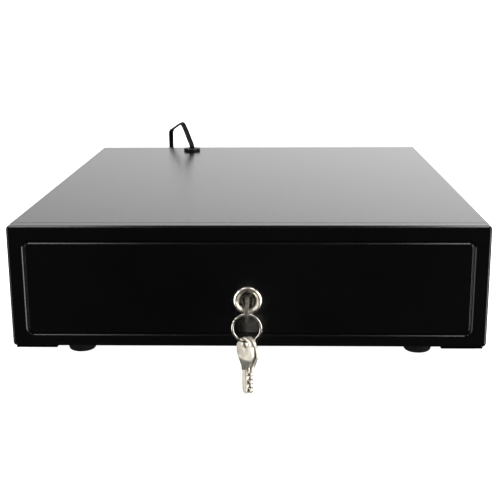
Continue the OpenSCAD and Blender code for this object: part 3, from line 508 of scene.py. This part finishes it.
def material_of(slot):
    """The material of one of the record's slots, made once."""
    if slot not in MATERIALS:
        tone = bpy.context.scene.drawer_finish
        makers = {
            "black_coat": lambda: satin_powder_coat(tone.coat),
            "zinc_plate": lambda: zinc_plate(tone.zinc),
            "bright_steel": lambda: spring_steel(tone.steel),
            "polished_nickel": lambda: polished_nickel(tone.nickel),
            "key_nickel": lambda: stamped_nickel_silver(tone.key),
            "foot_rubber": lambda: moulded_rubber(tone.rubber),
            "till_plastic": lambda: grained_plastic("grained_abs", tone.till, 0.42, 0.7 * MM, 0.03 * MM),
            "clip_plastic": lambda: grained_plastic("acetal", tone.clip, 0.34, 1.2 * MM, 0.01 * MM),
            "coil_wrap": enamelled_copper,
            "switch_plastic": lambda: grained_plastic("glass_filled_nylon", tone.nylon, 0.5, 0.5 * MM, 0.02 * MM),
            "grommet_plastic": lambda: grained_plastic("snap_in_nylon", tone.nylon, 0.4, 0.6 * MM, 0.01 * MM),
            "cord_jacket": lambda: grained_plastic("pvc_jacket", tone.jacket, 0.46, 0.5 * MM, 0.01 * MM, 0.2),
            "clear_plug": clear_polycarbonate,
        }
        MATERIALS[slot] = makers[slot]()
    return MATERIALS[slot]


# ---- Operators


class CASHDRAWER_OT_studio(bpy.types.Operator):
    """Pale floor, white backdrop, soft boxes, camera and world"""

    bl_idname = "cash_drawer.studio"
    bl_label = "Studio"

    def execute(self, context):
        studio = context.scene.drawer_studio
        camera = linked("camera", bpy.data.cameras.new("camera"))
        camera.data.sensor_width = 36.0
        camera.data.lens = studio.lens
        camera.data.clip_start, camera.data.clip_end = 0.01, 60.0
        turn = Matrix.Rotation(studio.yaw, 4, "Z") @ Matrix.Rotation(math.pi / 2 - studio.pitch, 4, "X")
        camera.matrix_world = Matrix.Translation(studio.eye) @ turn @ Matrix.Rotation(studio.roll, 4, "Z")
        context.scene.camera = camera
        context.scene.view_settings.view_transform = "Standard"

        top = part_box("foot_front_left")[0].z
        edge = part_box("front_panel")[0].y - 11 * MM
        points, faces = slab((-1.2, edge, top - 0.6), (1.2, 1.6, top), 30 * MM)
        self.stage("floor", points, faces, pale_floor())
        # The backdrop is a sheet 6.4 m wide, bent towards the sides as a parabola
        columns, rows = 33, 17
        x, z = np.meshgrid(np.linspace(-3.2, 3.2, columns), np.linspace(-0.6, 1.2, rows), indexing="ij")
        y = 2.6 - 0.10 * x**2
        points = np.stack([x, y, z], axis=2).reshape(-1, 3)
        faces = quads(columns, rows, columns_closed=False)
        self.stage("backdrop", points, faces, white_backdrop(studio.backdrop))

        world = bpy.data.worlds.new("studio")
        world.use_nodes = True
        context.scene.world = world
        tree = world.node_tree
        tree.nodes.clear()
        seen = add(tree, "ShaderNodeLightPath").outputs["Is Camera Ray"]
        strength = add(tree, "ShaderNodeMapRange", {"Value": seen, "To Min": 0.02, "To Max": 1.0}).outputs[0]
        sky = add(tree, "ShaderNodeBackground", {"Color": (1, 1, 1, 1), "Strength": strength})
        add(tree, "ShaderNodeOutputWorld", {"Surface": sky.outputs[0]})

        # name, place, aim, width, height, watts, seen in gloss
        boxes = (
            ("left_overhead_strip", (-0.6, -0.1, 1.35), (-0.45, -0.1, 0.1), 1.8, 0.45, 11, True),
            ("right_overhead_strip", (0.6, -0.1, 1.35), (0.45, -0.1, 0.1), 1.8, 0.45, 15, True),
            ("left_soft_box", (-1.55, -0.9, 0.0), (0.0, -0.22, 0.0), 0.6, 1.6, 6, True),
            ("right_soft_box", (1.55, -0.85, 0.0), (0.0, -0.22, 0.0), 0.6, 1.6, 18, True),
            ("left_metal_lamp", (-1.5, -0.95, 0.1), (0.0, -0.22, 0.0), 0.7, 1.7, 44, True),
            ("right_metal_lamp", (1.5, -0.9, 0.1), (0.0, -0.22, 0.0), 0.7, 1.7, 58, True),
            ("front_fill", (0.0, -2.2, 0.5), (0.0, 0.0, 0.0), 2.4, 1.6, 10, False),
        )
        for name, spot, aim, wide, tall, watts, glossy in boxes:
            lamp = bpy.data.lights.new(name, "AREA")
            lamp.shape, lamp.size, lamp.size_y = "RECTANGLE", wide, tall
            lamp.energy = watts * studio.lamps
            box = linked(name, lamp)
            box.location = spot
            box.rotation_euler = (Vector(aim) - Vector(spot)).to_track_quat("-Z", "Y").to_euler()
            box.visible_glossy = glossy
            box.visible_camera = False
            if "metal" in name:
                box.light_linking.receiver_collection = bright_metal()
        return {"FINISHED"}

    def stage(self, name, points, faces, material):
        """One stage mesh. The floor is hidden from gloss, so that the front stays dark."""
        mesh = bpy.data.meshes.new(name)
        mesh.from_pydata(points.tolist(), [], faces)
        if name == "floor":
            finish_mesh(mesh)
        mesh.materials.append(material)
        obj = linked(name, mesh)
        obj.visible_glossy = name != "floor"


def pale_floor():
    """Pale laminate table top, lit from within: nearly white and matt, with a faint even mottle."""
    material, tree, shader, spot = new_material("pale_laminate", {
        "Roughness": 0.8, "IOR": 1.3, "Emission Color": (1, 1, 1, 1), "Emission Strength": 1.0})
    mottle = noise(tree, spot, 40 * MM, 3.0)
    coloured(tree, shader, between(tree, mottle, 0, 1), linear("#F4F4F3", 1.0), linear("#FAFAF9", 1.0))
    return material


def white_backdrop(strength):
    """White paper sweep lit from behind: its light rises from left to right."""
    material = bpy.data.materials.new("lit_paper_sweep")
    material.use_nodes = True
    tree = material.node_tree
    tree.nodes.clear()
    across = add(tree, "ShaderNodeSeparateXYZ", {0: add(tree, "ShaderNodeTexCoord").outputs["Object"]}).outputs[0]
    rise = between(tree, across, 0.73 * strength, 1.17 * strength, -1.0, 1.0)
    glow = add(tree, "ShaderNodeEmission", {"Color": (1, 1, 1, 1), "Strength": rise})
    add(tree, "ShaderNodeOutputMaterial", {"Surface": glow.outputs[0]})
    return material


class CASHDRAWER_OT_lead(bpy.types.Operator):
    """Flat lead with its grommet, stored coil, tie and modular plug"""

    bl_idname = "cash_drawer.lead"
    bl_label = "Lead"

    # Route over the rear edge and down to the coil, in millimetres, as the CAD source has it
    ROUTE = (
        (-72, 175.5, 91.7), (-72, 175.5, 95.7), (-73.2, 178.6, 99.2), (-76.4, 187, 104.6),
        (-80.2, 197.2, 110.9), (-83.8, 206.6, 116.1), (-86.2, 212.6, 117.2), (-89.6, 221, 115.6),
        (-94.6, 235.6, 111.5), (-99.6, 250.2, 107.4), (-103, 260.6, 104.2), (-104.7, 266.6, 99.9),
        (-105, 269, 93.7), (-105, 269.5, 81.6), (-105, 270.5, 63.3), (-105, 271.7, 44.9),
        (-105, 273, 26.5), (-105, 274.2, 12.2), (-104.4, 275, 3.6), (-101.5, 275, -2.8),
        (-96, 275, -6.2), (-89, 275, -6.6), (-80.5, 275, -6.6), (-72, 275, -6.6),
    )
    # Lead inside the case, from the grommet to the solenoid
    INSIDE = (
        (-72, 175.5, 91.7), (-72, 175.5, 86.7), (-72, 175.6, 76.5), (-72, 176.5, 63.3),
        (-72, 179, 51), (-71.5, 184, 38.7), (-70, 189.5, 27.5), (-66.5, 193.5, 18.3),
        (-60, 195.2, 12.2), (-50, 195.5, 9.1), (-38, 195.5, 8.1), (-26, 195.5, 8.1),
        (-14, 195.5, 8.1), (-2, 195.5, 8.1), (6, 195.5, 8.1),
    )

    def execute(self, context):
        lead = context.scene.drawer_lead
        section = self.section(lead.width, lead.thickness)

        i = np.arange(len(self.ROUTE))
        a = np.radians(90 * np.clip((i - 12) / 5, 0, 1))
        b = np.radians(90 * np.clip((i - 20) / 3, 0, 1))
        fold = np.radians(31 * np.clip(np.minimum(i - 5, 11 - i) / 2, 0, 1))
        side = np.stack([np.cos(a) * np.cos(fold), np.sin(a) * np.cos(b), np.sin(b) + np.sin(fold)], axis=1)
        route = smooth_curve(np.array(self.ROUTE) * MM, 8)
        across = smooth_curve(side, 8)

        low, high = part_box("cord_coil")
        centre = (low + high) / 2
        outer = (high.x - low.x) / 2 - lead.thickness / 2
        level = route[-1, 2]
        turn = np.linspace(0, 2 * math.pi * lead.turns, 60 * lead.turns + 1)
        r = outer - lead.thickness * turn / (2 * math.pi)
        wound = np.stack([centre.x + r * np.sin(turn), centre.y + r * np.cos(turn), np.full(len(r), level)], axis=1)
        upright = np.tile([0.0, 0.0, 1.0], (len(wound), 1))

        # Half circle from the innermost turn into the plug, while the lead lies down flat
        plug_low, plug_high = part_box("cord_plug")
        plug_y = (plug_low.y + plug_high.y) / 2
        start_y = centre.y + r[-1]
        bend = (start_y - plug_y) / 2
        w = np.linspace(0, math.pi, 25)[1:]
        last = np.stack([centre.x + bend * np.sin(w), start_y - bend + bend * np.cos(w), np.full(len(w), level)],
                        axis=1)
        lie = smoothstep(w / math.pi)[:, None] * math.pi / 2
        outwards = np.stack([np.sin(w), np.cos(w), np.zeros(len(w))], axis=1)
        laid = np.cos(lie) * [0, 0, 1] - np.sin(lie) * outwards
        tail = np.array([[plug_high.x - d * MM, plug_y, level] for d in (1, 3)])

        path = np.concatenate([route, wound, last, tail])
        sides = np.concatenate([across, upright, laid, [laid[-1]] * 2])
        obj = piece("flat_lead", [sweep(path, sides, section)], "housing", "cord_jacket", ["cord_tube", "cord_coil"])
        drawn = np.linalg.norm(np.diff(path, axis=0), axis=1).sum()
        if abs(drawn - lead.total) > 0.08 * lead.total:
            raise RuntimeError(f"the lead's route is {drawn:.3f} m long, and it should be {lead.total:.3f} m")

        inside = smooth_curve(np.array(self.INSIDE) * MM, 6)
        a = np.radians(90 * np.clip((np.linspace(0, len(self.INSIDE) - 1, len(inside)) - 3) / 6, 0, 1))
        width = np.stack([np.cos(a), np.zeros(len(a)), np.sin(a)], axis=1)
        piece("lead_inside", [sweep(inside, width, section)], "housing", "cord_jacket", ["inner_lead"])

        plug = softened("cord_plug", 0.25 * MM)
        pitch, half = 1.02 * MM, 0.15 * MM
        blades = []
        for y in plug_y + (np.arange(6) - 2.5) * pitch:
            blades.append(slab((plug_low.x + 0.6 * MM, y - half, plug_low.z + 2.2 * MM),
                               (plug_low.x + 4.6 * MM, y + half, plug_low.z + 4.9 * MM), 0.1 * MM))
        contacts = piece("plug_contacts", blades, "housing", "clear_plug", material=gold_flash())
        tie = self.tie(lead)
        self.grommet()
        return {"FINISHED"}

    def section(self, width, thickness):
        """Four cores side by side: a rounded slot whose thickness dips 12% between the cores, as a cosine across it."""
        s = oval(width, thickness, 0.55, 40)
        s[:, 1] *= 1 - 0.06 * (1 + np.cos(8 * math.pi * s[:, 0] / width))
        return s

    def tie(self, lead):
        """Strap round the coil's band: a thin section carried round a rounded rectangle, with a lapped end on top."""
        low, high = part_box("cord_tie")
        t = 0.8 * MM
        mid, half = (low + high) / 2, (high - low) / 2
        ring = rounded_ring(half.y - t / 2, half.z - t / 2, 1.2 * MM, 7)
        path = np.column_stack([np.full(len(ring), mid.x), ring[:, 0] + mid.y, ring[:, 1] + mid.z])
        across = np.tile([1.0, 0.0, 0.0], (len(path), 1))
        strap = sweep(path, across, oval(2 * half.x, t, 0.3, 24), closed=True)
        lap = slab((mid.x - half.x, mid.y - half.y + 2 * MM, high.z - 0.1 * MM),
                   (mid.x + half.x, mid.y + 2 * MM, high.z + 0.7 * MM), 1.5 * MM)
        return piece("coil_tie", [strap, lap], "housing", "cord_jacket", ["cord_tie"], material=hook_and_loop())

    def grommet(self):
        """Snap-in bushing: a turned section with a rounded collar, a neck and a lower lip."""
        low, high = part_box("cord_grommet")
        r = (high.x - low.x) / 2
        z = high.z
        bore = 2.9 * MM
        profile = np.concatenate([
            [[bore, z - 6 * MM]], [[7.4 * MM, z - 6 * MM], [7.4 * MM, z - 4.4 * MM], [6.1 * MM, z - 4.0 * MM],
                                   [6.1 * MM, z - 3 * MM], [r - 0.2 * MM, z - 3 * MM]],
            arc(r - 1.3 * MM, z - 1.3 * MM, 1.3 * MM, 0, 90), [[bore + 1.0 * MM, z - 0.05 * MM]],
            arc(bore + 0.9 * MM, z - 0.9 * MM, 0.9 * MM, 90, 180, 5)])
        centre = ((low.x + high.x) / 2, (low.y + high.y) / 2, 0)
        piece("lead_grommet", [lathe(profile, centre)], "housing", "grommet_plastic", ["cord_grommet"])


class CASHDRAWER_OT_front(bpy.types.Operator):
    """Drawer front: one pressed sheet with a bead, folded edges and welded studs"""

    bl_idname = "cash_drawer.front"
    bl_label = "Drawer front"

    def execute(self, context):
        f = context.scene.drawer_front
        low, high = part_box("front_panel")
        half_x, half_z, mid_z = (high.x - low.x) / 2, (high.z - low.z) / 2, (high.z + low.z) / 2
        y0, back = low.y, low.y + f.fold
        bead_x = half_x - f.bead_side
        bead_half = half_z - (f.bead_top + f.bead_bottom) / 2
        bead_mid = mid_z + (f.bead_bottom - f.bead_top) / 2

        def outline(inset, y, wide, high, corner, least, middle):
            ring = rounded_ring(wide - inset, high - inset, max(corner - inset, least))
            return np.column_stack([ring[:, 0], np.full(len(ring), y), ring[:, 1] + middle])

        def rim(inset, y):
            return outline(inset, y, half_x, half_z, f.corner, 0.2 * MM, mid_z)

        def bead(inset, y):
            return outline(inset, y, bead_x, bead_half, f.bead_corner, 0.3 * MM, bead_mid)

        # The bead's depth is a raised cosine across its width, on the face and again a sheet behind it
        s = np.linspace(0, 1, 15)
        depth = f.bead_depth * (0.5 - 0.5 * np.cos(2 * math.pi * s)) ** 0.8
        a = np.radians(np.linspace(90, 0, 9))
        face = [bead(f.bead_width * t, y0 + d) for t, d in zip(s[::-1], depth[::-1])]
        fold = [rim(f.bend * (1 - math.cos(t)), y0 + f.bend * (1 - math.sin(t))) for t in a]
        lip = [rim(0, back - 0.15 * MM), rim(0.15 * MM, back), rim(f.sheet - 0.15 * MM, back),
               rim(f.sheet, back - 0.15 * MM)]
        inner = f.bend - f.sheet
        turned = [rim(f.sheet + inner * (1 - math.cos(t)), y0 + f.sheet + inner * (1 - math.sin(t))) for t in a[::-1]]
        rear = [bead(f.bead_width * t, y0 + f.sheet + d) for t, d in zip(s, depth)]
        skin = tube(np.array(face + fold + lip + turned + rear))

        # A nut is 7 mm across its flats and 8.08 mm across its corners, with a stud in its middle
        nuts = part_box("panel_nuts")
        start, end = y0 + f.sheet - 0.2 * MM, high.y
        profile = [(0, start), (2 * MM, start), (2 * MM, end - 0.5 * MM), (1.5 * MM, end), (0, end)]
        studs = [lathe(profile, (sx * (nuts[1].x - 4.04 * MM), 0, z), "Y", 24, closed=False)
                 for sx in (-1, 1) for z in (nuts[0].z + 3.5 * MM, nuts[1].z - 3.5 * MM)]
        piece("front_skin", [skin] + studs, "drawer", "black_coat", ["front_panel"], sharp=50)
        return {"FINISHED"}


class CASHDRAWER_OT_cover(bpy.types.Operator):
    """Cover: one folded sheet over the top and sides, with flanges turned under the base"""

    bl_idname = "cash_drawer.cover"
    bl_label = "Cover"

    def execute(self, context):
        f = context.scene.drawer_front
        low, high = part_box("top_cover")
        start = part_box("front_panel")[0].y + f.fold + 1.0 * MM
        half, top, bottom, r = high.x, high.z, low.z, f.bend
        inner = half - f.flange

        def path(inset):
            """Half outline at an inset from the outside, from the flange's edge round the side to the top's middle."""
            q = r - inset
            return np.concatenate([
                [[inner, bottom + inset], [half - r, bottom + inset]],
                arc(half - r, bottom + r, q, -90, 0, 9), arc(half - r, top - r, q, 0, 90, 9), [[0, top - inset]]])

        def loop(margin):
            outside, inside = path(margin), path(f.sheet - margin)
            outside[0, 0] += margin
            inside[0, 0] += margin
            mirror = np.array([-1, 1])
            right = np.concatenate([outside, (outside * mirror)[-2::-1]])
            left = np.concatenate([inside * mirror, inside[-2::-1]])
            return np.concatenate([right, left])

        e = 0.2 * MM
        rings = [np.insert(loop(m), 1, y, axis=1) for m, y in
                 ((e, start), (0.06 * MM, start + 0.06 * MM), (0, start + e), (0, high.y - e),
                  (0.06 * MM, high.y - 0.06 * MM), (e, high.y))]
        mid, wide = (inner + half - r) / 2, (half - r - inner) / 2
        tongues = [slab((x - wide, low.y, bottom), (x + wide, start + 1 * MM, bottom + f.sheet), 0.4 * MM)
                   for x in (-mid, mid)]
        piece("cover_shell", [tube(np.array(rings))] + tongues, "housing", "black_coat", ["top_cover"], sharp=50)
        return {"FINISHED"}


class CASHDRAWER_OT_lock(bpy.types.Operator):
    """Cam lock: turned bezel and threaded barrel, plug, nut, cam and its screw"""

    bl_idname = "cash_drawer.lock"
    bl_label = "Lock"

    def execute(self, context):
        low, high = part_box("lock_barrel")
        front, rear = low.y, high.y
        r = (high.x - low.x) / 2
        z = (low.z + high.z) / 2
        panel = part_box("front_panel")[0].y
        bore, barrel = 6.25 * MM, 8 * MM

        # The thread is a cosine ripple on the barrel, a millimetre from crest to crest
        y = np.linspace(panel + 7 * MM, rear - 0.6 * MM, 90)
        thread = np.column_stack([barrel - 0.18 * MM * (1 - np.cos(2 * math.pi * y / MM)), y])
        profile = np.concatenate([
            [[bore, rear], [barrel - 0.6 * MM, rear]], thread[::-1], [[barrel, panel + 6 * MM], [barrel, panel],
             [r - 0.2 * MM, panel], [r, panel - 0.2 * MM]],
            arc(r - 1.5 * MM, front + 1.5 * MM, 1.5 * MM, 0, -90, 10), [[9.0 * MM, front]],
            arc(8.8 * MM, front + 0.3 * MM, 0.3 * MM, -90, -170, 4),
            [[7.2 * MM, panel - 1.75 * MM], [6.7 * MM, panel - 1.6 * MM], [bore + 0.15 * MM, panel - 1.6 * MM],
             [bore, panel - 1.45 * MM]]])
        piece("lock_bezel", [lathe(profile, (0, 0, z), "Y", 96)], "drawer", "polished_nickel", ["lock_barrel"], 38)
        # The plug's face is the lock's nickel painted darker, to 45% of its tone, with a smoother roughness: painted
        # shade for the dark surroundings it reflects.
        face = polished_nickel(shade(context.scene.drawer_finish.nickel, 0.45)[:3], 0.12, 0.2)
        softened("lock_plug", 0.25 * MM, material=face)
        softened("lock_nut", 0.4 * MM)
        softened("lock_cam", 0.2 * MM)
        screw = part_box("cam_screw")
        head = (screw[1].x - screw[0].x) / 2
        shank = lathe([(0, screw[0].y), (1.5 * MM, screw[0].y), (1.5 * MM, screw[1].y - 1.7 * MM),
                       (0, screw[1].y - 1.7 * MM)], (0, 0, z), "Y", 24, closed=False)
        dome = screw_head((0, screw[1].y - 1.8 * MM, z), head, 1.8 * MM, "+Y")
        piece("cam_screw_turned", [shank, dome], "plug", SLOT_OF["cam_screw"], ["cam_screw"])
        return {"FINISHED"}


class CASHDRAWER_OT_keys(bpy.types.Operator):
    """Three keys and the split ring that joins them"""

    bl_idname = "cash_drawer.keys"
    bl_label = "Keys and ring"

    def execute(self, context):
        # The key in the lock is the same nickel silver painted darker as a whole, to 30% of its tone: painted shade for
        # the key seen edge-on in the lock, over the duller sheared edges it really has
        shade_and_wear_key_silver = stamped_nickel_silver(shade(context.scene.drawer_finish.key, 0.3)[:3])
        softened("key_inserted", 0.22 * MM, 3, shade_and_wear_key_silver)
        for node in ("key_front", "key_back"):
            softened(node, 0.22 * MM, 3)
        low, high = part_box("key_ring")
        centre, half = (low + high) / 2, (high - low) / 2
        wire = 1.5 * MM
        # Two turns side by side; the wire steps from the first to the second over half a radian
        a = np.linspace(0.3, 4 * math.pi - 0.3, 220)
        step = half.y * (smoothstep((a - 2 * math.pi + 0.28) / 0.56) - 0.5)
        angle = a + math.radians(205)
        r = half.x - wire / 2
        out = np.stack([np.cos(angle), np.zeros(len(a)), np.sin(angle)], axis=1)
        path = np.array(centre) + out * r + np.stack([0 * a, step, 0 * a], axis=1)
        section = oval(wire, half.y * 0.97, 0.5, 16)
        piece("split_ring", [sweep(path, out, section)], "ring", "polished_nickel", ["key_ring"], 45)
        return {"FINISHED"}


class CASHDRAWER_OT_feet(bpy.types.Operator):
    """Four turned rubber feet with their screws, and the cover's screws"""

    bl_idname = "cash_drawer.feet"
    bl_label = "Feet and screws"

    def execute(self, context):
        spots = []
        for node in ("foot_front_left", "foot_front_right", "foot_rear_left", "foot_rear_right"):
            low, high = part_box(node)
            r, z = (high.x - low.x) / 2, low.z
            centre = ((low.x + high.x) / 2, (low.y + high.y) / 2, 0)
            spots.append(centre[:2])
            profile = np.concatenate([
                [[2.05 * MM, high.z], [r - 0.3 * MM, high.z], [r, high.z - 0.3 * MM]],
                arc(r - 0.8 * MM, z + 7.6 * MM, 0.8 * MM, 0, -60, 4),
                arc(r - 0.5 * MM, z + 6.2 * MM, 0.5 * MM, 120, 180, 3),
                arc(r - 3.7 * MM, z + 2.6 * MM, 2.6 * MM, 0, -90, 9),
                arc(4.7 * MM, z + 0.5 * MM, 0.5 * MM, -90, -180, 4),
                [[4.2 * MM, z + 6 * MM], [2.05 * MM, z + 6 * MM]]])
            piece(node + "_moulded", [lathe(profile, centre)], "housing", "foot_rubber", [node])
        self.screws("foot_screws", spots, 3.8 * MM, 2 * MM)
        low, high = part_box("cover_screws")
        head = 3.6 * MM
        spots = [(x, y) for x in (low.x + head, high.x - head) for y in (low.y + head, 0.0, high.y - head)]
        self.screws("cover_screws", spots, head, 1.6 * MM)
        return {"FINISHED"}

    def screws(self, node, spots, radius, height):
        """Pan-headed screws from below: heads at the foot of the node's box, and plain shanks up to its top."""
        low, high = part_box(node)
        start, shank = low.z + height - 0.1 * MM, 2 * MM
        profile = [(0, start), (shank, start), (shank, high.z), (0, high.z)]
        parts = []
        for x, y in spots:
            parts.append(screw_head((x, y, low.z + height), radius, height, "-Z"))
            parts.append(lathe(profile, (x, y, 0), "Z", 24, closed=False))
        piece(node + "_turned", parts, "housing", SLOT_OF[node], [node])


class CASHDRAWER_OT_springs(bpy.types.Operator):
    """Wound springs and the solenoid's winding"""

    bl_idname = "cash_drawer.springs"
    bl_label = "Springs and winding"

    def execute(self, context):
        for name, node, axis, wire, turns in (("kick_out_spring", "ejector_spring", "Y", 0.8 * MM, 8),
                                              ("latch_spring_wound", "latch_spring", "Z", 0.4 * MM, 4)):
            piece(name, [self.spring(*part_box(node), axis, wire, turns)], "housing", "bright_steel", [node])
        low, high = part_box("clip_springs")
        long = 6.9 * MM
        pitch = (high.x - low.x - long) / 3
        coils = []
        for n in range(4):
            start = Vector((low.x + n * pitch, low.y, low.z))
            coils.append(self.spring(start, Vector((start.x + long, high.y, high.z)), "X", 0.45 * MM, 5))
        piece("clip_springs_wound", coils, "till_insert", "bright_steel", ["clip_springs"])

        # Winding: the profile's radius ripples as the round wire's turns, half a millimetre apart
        low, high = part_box("solenoid_coil")
        mid = (low + high) / 2
        r = (high.y - low.y) / 2
        flange = 1.2 * MM
        x = np.linspace(low.x + flange, high.x - flange, 173)
        wound = np.column_stack([r - 0.7 * MM + 0.12 * MM * np.abs(np.sin(2 * math.pi * x / MM)), x])
        bore, edge = 4.9 * MM, 0.2 * MM
        bobbin = []
        for x0, x1 in ((low.x, low.x + flange), (high.x - flange, high.x)):
            profile = [(bore, x0), (r - edge, x0), (r, x0 + edge), (r, x1 - edge), (r - edge, x1), (bore, x1)]
            bobbin.append(lathe(profile, (0, mid.y, mid.z), "X", 64))
        body = np.concatenate([[[bore, x[0]]], wound, [[bore, x[-1]]]])
        piece("solenoid_winding", [lathe(body, (0, mid.y, mid.z), "X", 64)], "housing", "coil_wrap", ["solenoid_coil"])
        piece("solenoid_bobbin", bobbin, "housing", "switch_plastic")
        return {"FINISHED"}

    def spring(self, low, high, axis, wire, turns):
        """Helix of round wire in a box: angle rises evenly, and the last half turn at each end lies flat."""
        low, high = np.array(low), np.array(high)
        mid, half = (low + high) / 2, (high - low) / 2
        k = "XYZ".index(axis)
        u, v = [(1, 2), (0, 2), (0, 1)][k]
        a = np.linspace(0, 2 * math.pi * turns, 24 * turns + 1)
        rise = np.clip((a - math.pi) / (a[-1] - 2 * math.pi), 0, 1)
        path = np.tile(mid, (len(a), 1))
        out = np.zeros_like(path)
        out[:, u], out[:, v] = np.cos(a), np.sin(a)
        path += out * (half[u] - wire)
        path[:, k] = low[k] + wire + rise * (2 * half[k] - 2 * wire)
        return sweep(path, out, oval(2 * wire, 2 * wire, 1.0, 12))


class CASHDRAWER_OT_pressings(bpy.types.Operator):
    """Pressed and turned metal parts with softened edges"""

    bl_idname = "cash_drawer.pressings"
    bl_label = "Pressings"

    # node and edge radius in millimetres
    PARTS = {
        "base_pan": 0.3, "rear_panel": 0.3, "drawer_tray": 0.3,
        **{f"slide_{member}_{side}": 0.2 for member in ("outer", "middle", "inner") for side in ("left", "right")},
        "panel_nuts": 0.25, "latch_strike": 0.3, "lock_keeper": 0.3, "clip_rod": 0.3, "latch_bracket": 0.3,
        "latch_pin": 0.2, "latch_lever": 0.25, "solenoid_frame": 0.3, "solenoid_plunger": 0.3, "switch_lever": 0.1,
        "ejector_guide": 0.4,
    }

    def execute(self, context):
        for node, width in self.PARTS.items():
            softened(node, width * MM)
        return {"FINISHED"}


class CASHDRAWER_OT_mouldings(bpy.types.Operator):
    """Moulded till, coin tray, note clips and switch case with softened edges"""

    bl_idname = "cash_drawer.mouldings"
    bl_label = "Mouldings"

    PARTS = {
        "till": 0.5, "coin_tray": 0.5, **{f"note_clip_{n}": 0.4 for n in range(1, 5)}, "switch_body": 0.3,
    }

    def execute(self, context):
        for node, width in self.PARTS.items():
            softened(node, width * MM, 3)
        return {"FINISHED"}


class CASHDRAWER_OT_frame_finish(bpy.types.Operator):
    """Gives every CAD node that is still shown the material of its slot"""

    bl_idname = "cash_drawer.frame_finish"
    bl_label = "Remaining parts"

    def execute(self, context):
        for node, obj in frame["nodes"].items():
            if not obj.hide_render:
                obj.data.materials.clear()
                obj.data.materials.append(material_of(SLOT_OF[node]))
        return {"FINISHED"}


class CASHDRAWER_PT_panel(bpy.types.Panel):
    """Lists the drawer's settings and the steps that make it"""

    bl_idname = "CASHDRAWER_PT_panel"
    bl_label = "Cash drawer"
    bl_space_type = "VIEW_3D"
    bl_region_type = "UI"
    bl_category = "Cash drawer"

    def draw(self, context):
        for group in ("drawer_front", "drawer_lead", "drawer_finish", "drawer_studio"):
            settings = getattr(context.scene, group)
            box = self.layout.box()
            for name in settings.__annotations__:
                box.prop(settings, name)
        for operator in OPERATORS:
            self.layout.operator(operator.bl_idname)


SETTINGS = {"drawer_front": FrontSettings, "drawer_lead": LeadSettings, "drawer_finish": FinishSettings,
            "drawer_studio": StudioSettings}
OPERATORS = (
    CASHDRAWER_OT_studio, CASHDRAWER_OT_lead, CASHDRAWER_OT_front, CASHDRAWER_OT_cover, CASHDRAWER_OT_lock,
    CASHDRAWER_OT_keys, CASHDRAWER_OT_feet, CASHDRAWER_OT_springs, CASHDRAWER_OT_pressings,
    CASHDRAWER_OT_mouldings, CASHDRAWER_OT_frame_finish,
)


def register():
    """Registers the settings, the operators and the panel."""
    for name, group in SETTINGS.items():
        bpy.utils.register_class(group)
        setattr(bpy.types.Scene, name, PointerProperty(type=group))
    for cls in (*OPERATORS, CASHDRAWER_PT_panel):
        bpy.utils.register_class(cls)


def unregister():
    """Takes them away again."""
    for cls in reversed((*OPERATORS, CASHDRAWER_PT_panel)):
        bpy.utils.unregister_class(cls)
    for name, group in SETTINGS.items():
        delattr(bpy.types.Scene, name)
        bpy.utils.unregister_class(group)


def main():
    register()
    for operator in OPERATORS:
        group, name = operator.bl_idname.split(".")
        getattr(getattr(bpy.ops, group), name)()


if __name__ == "__main__":
    main()
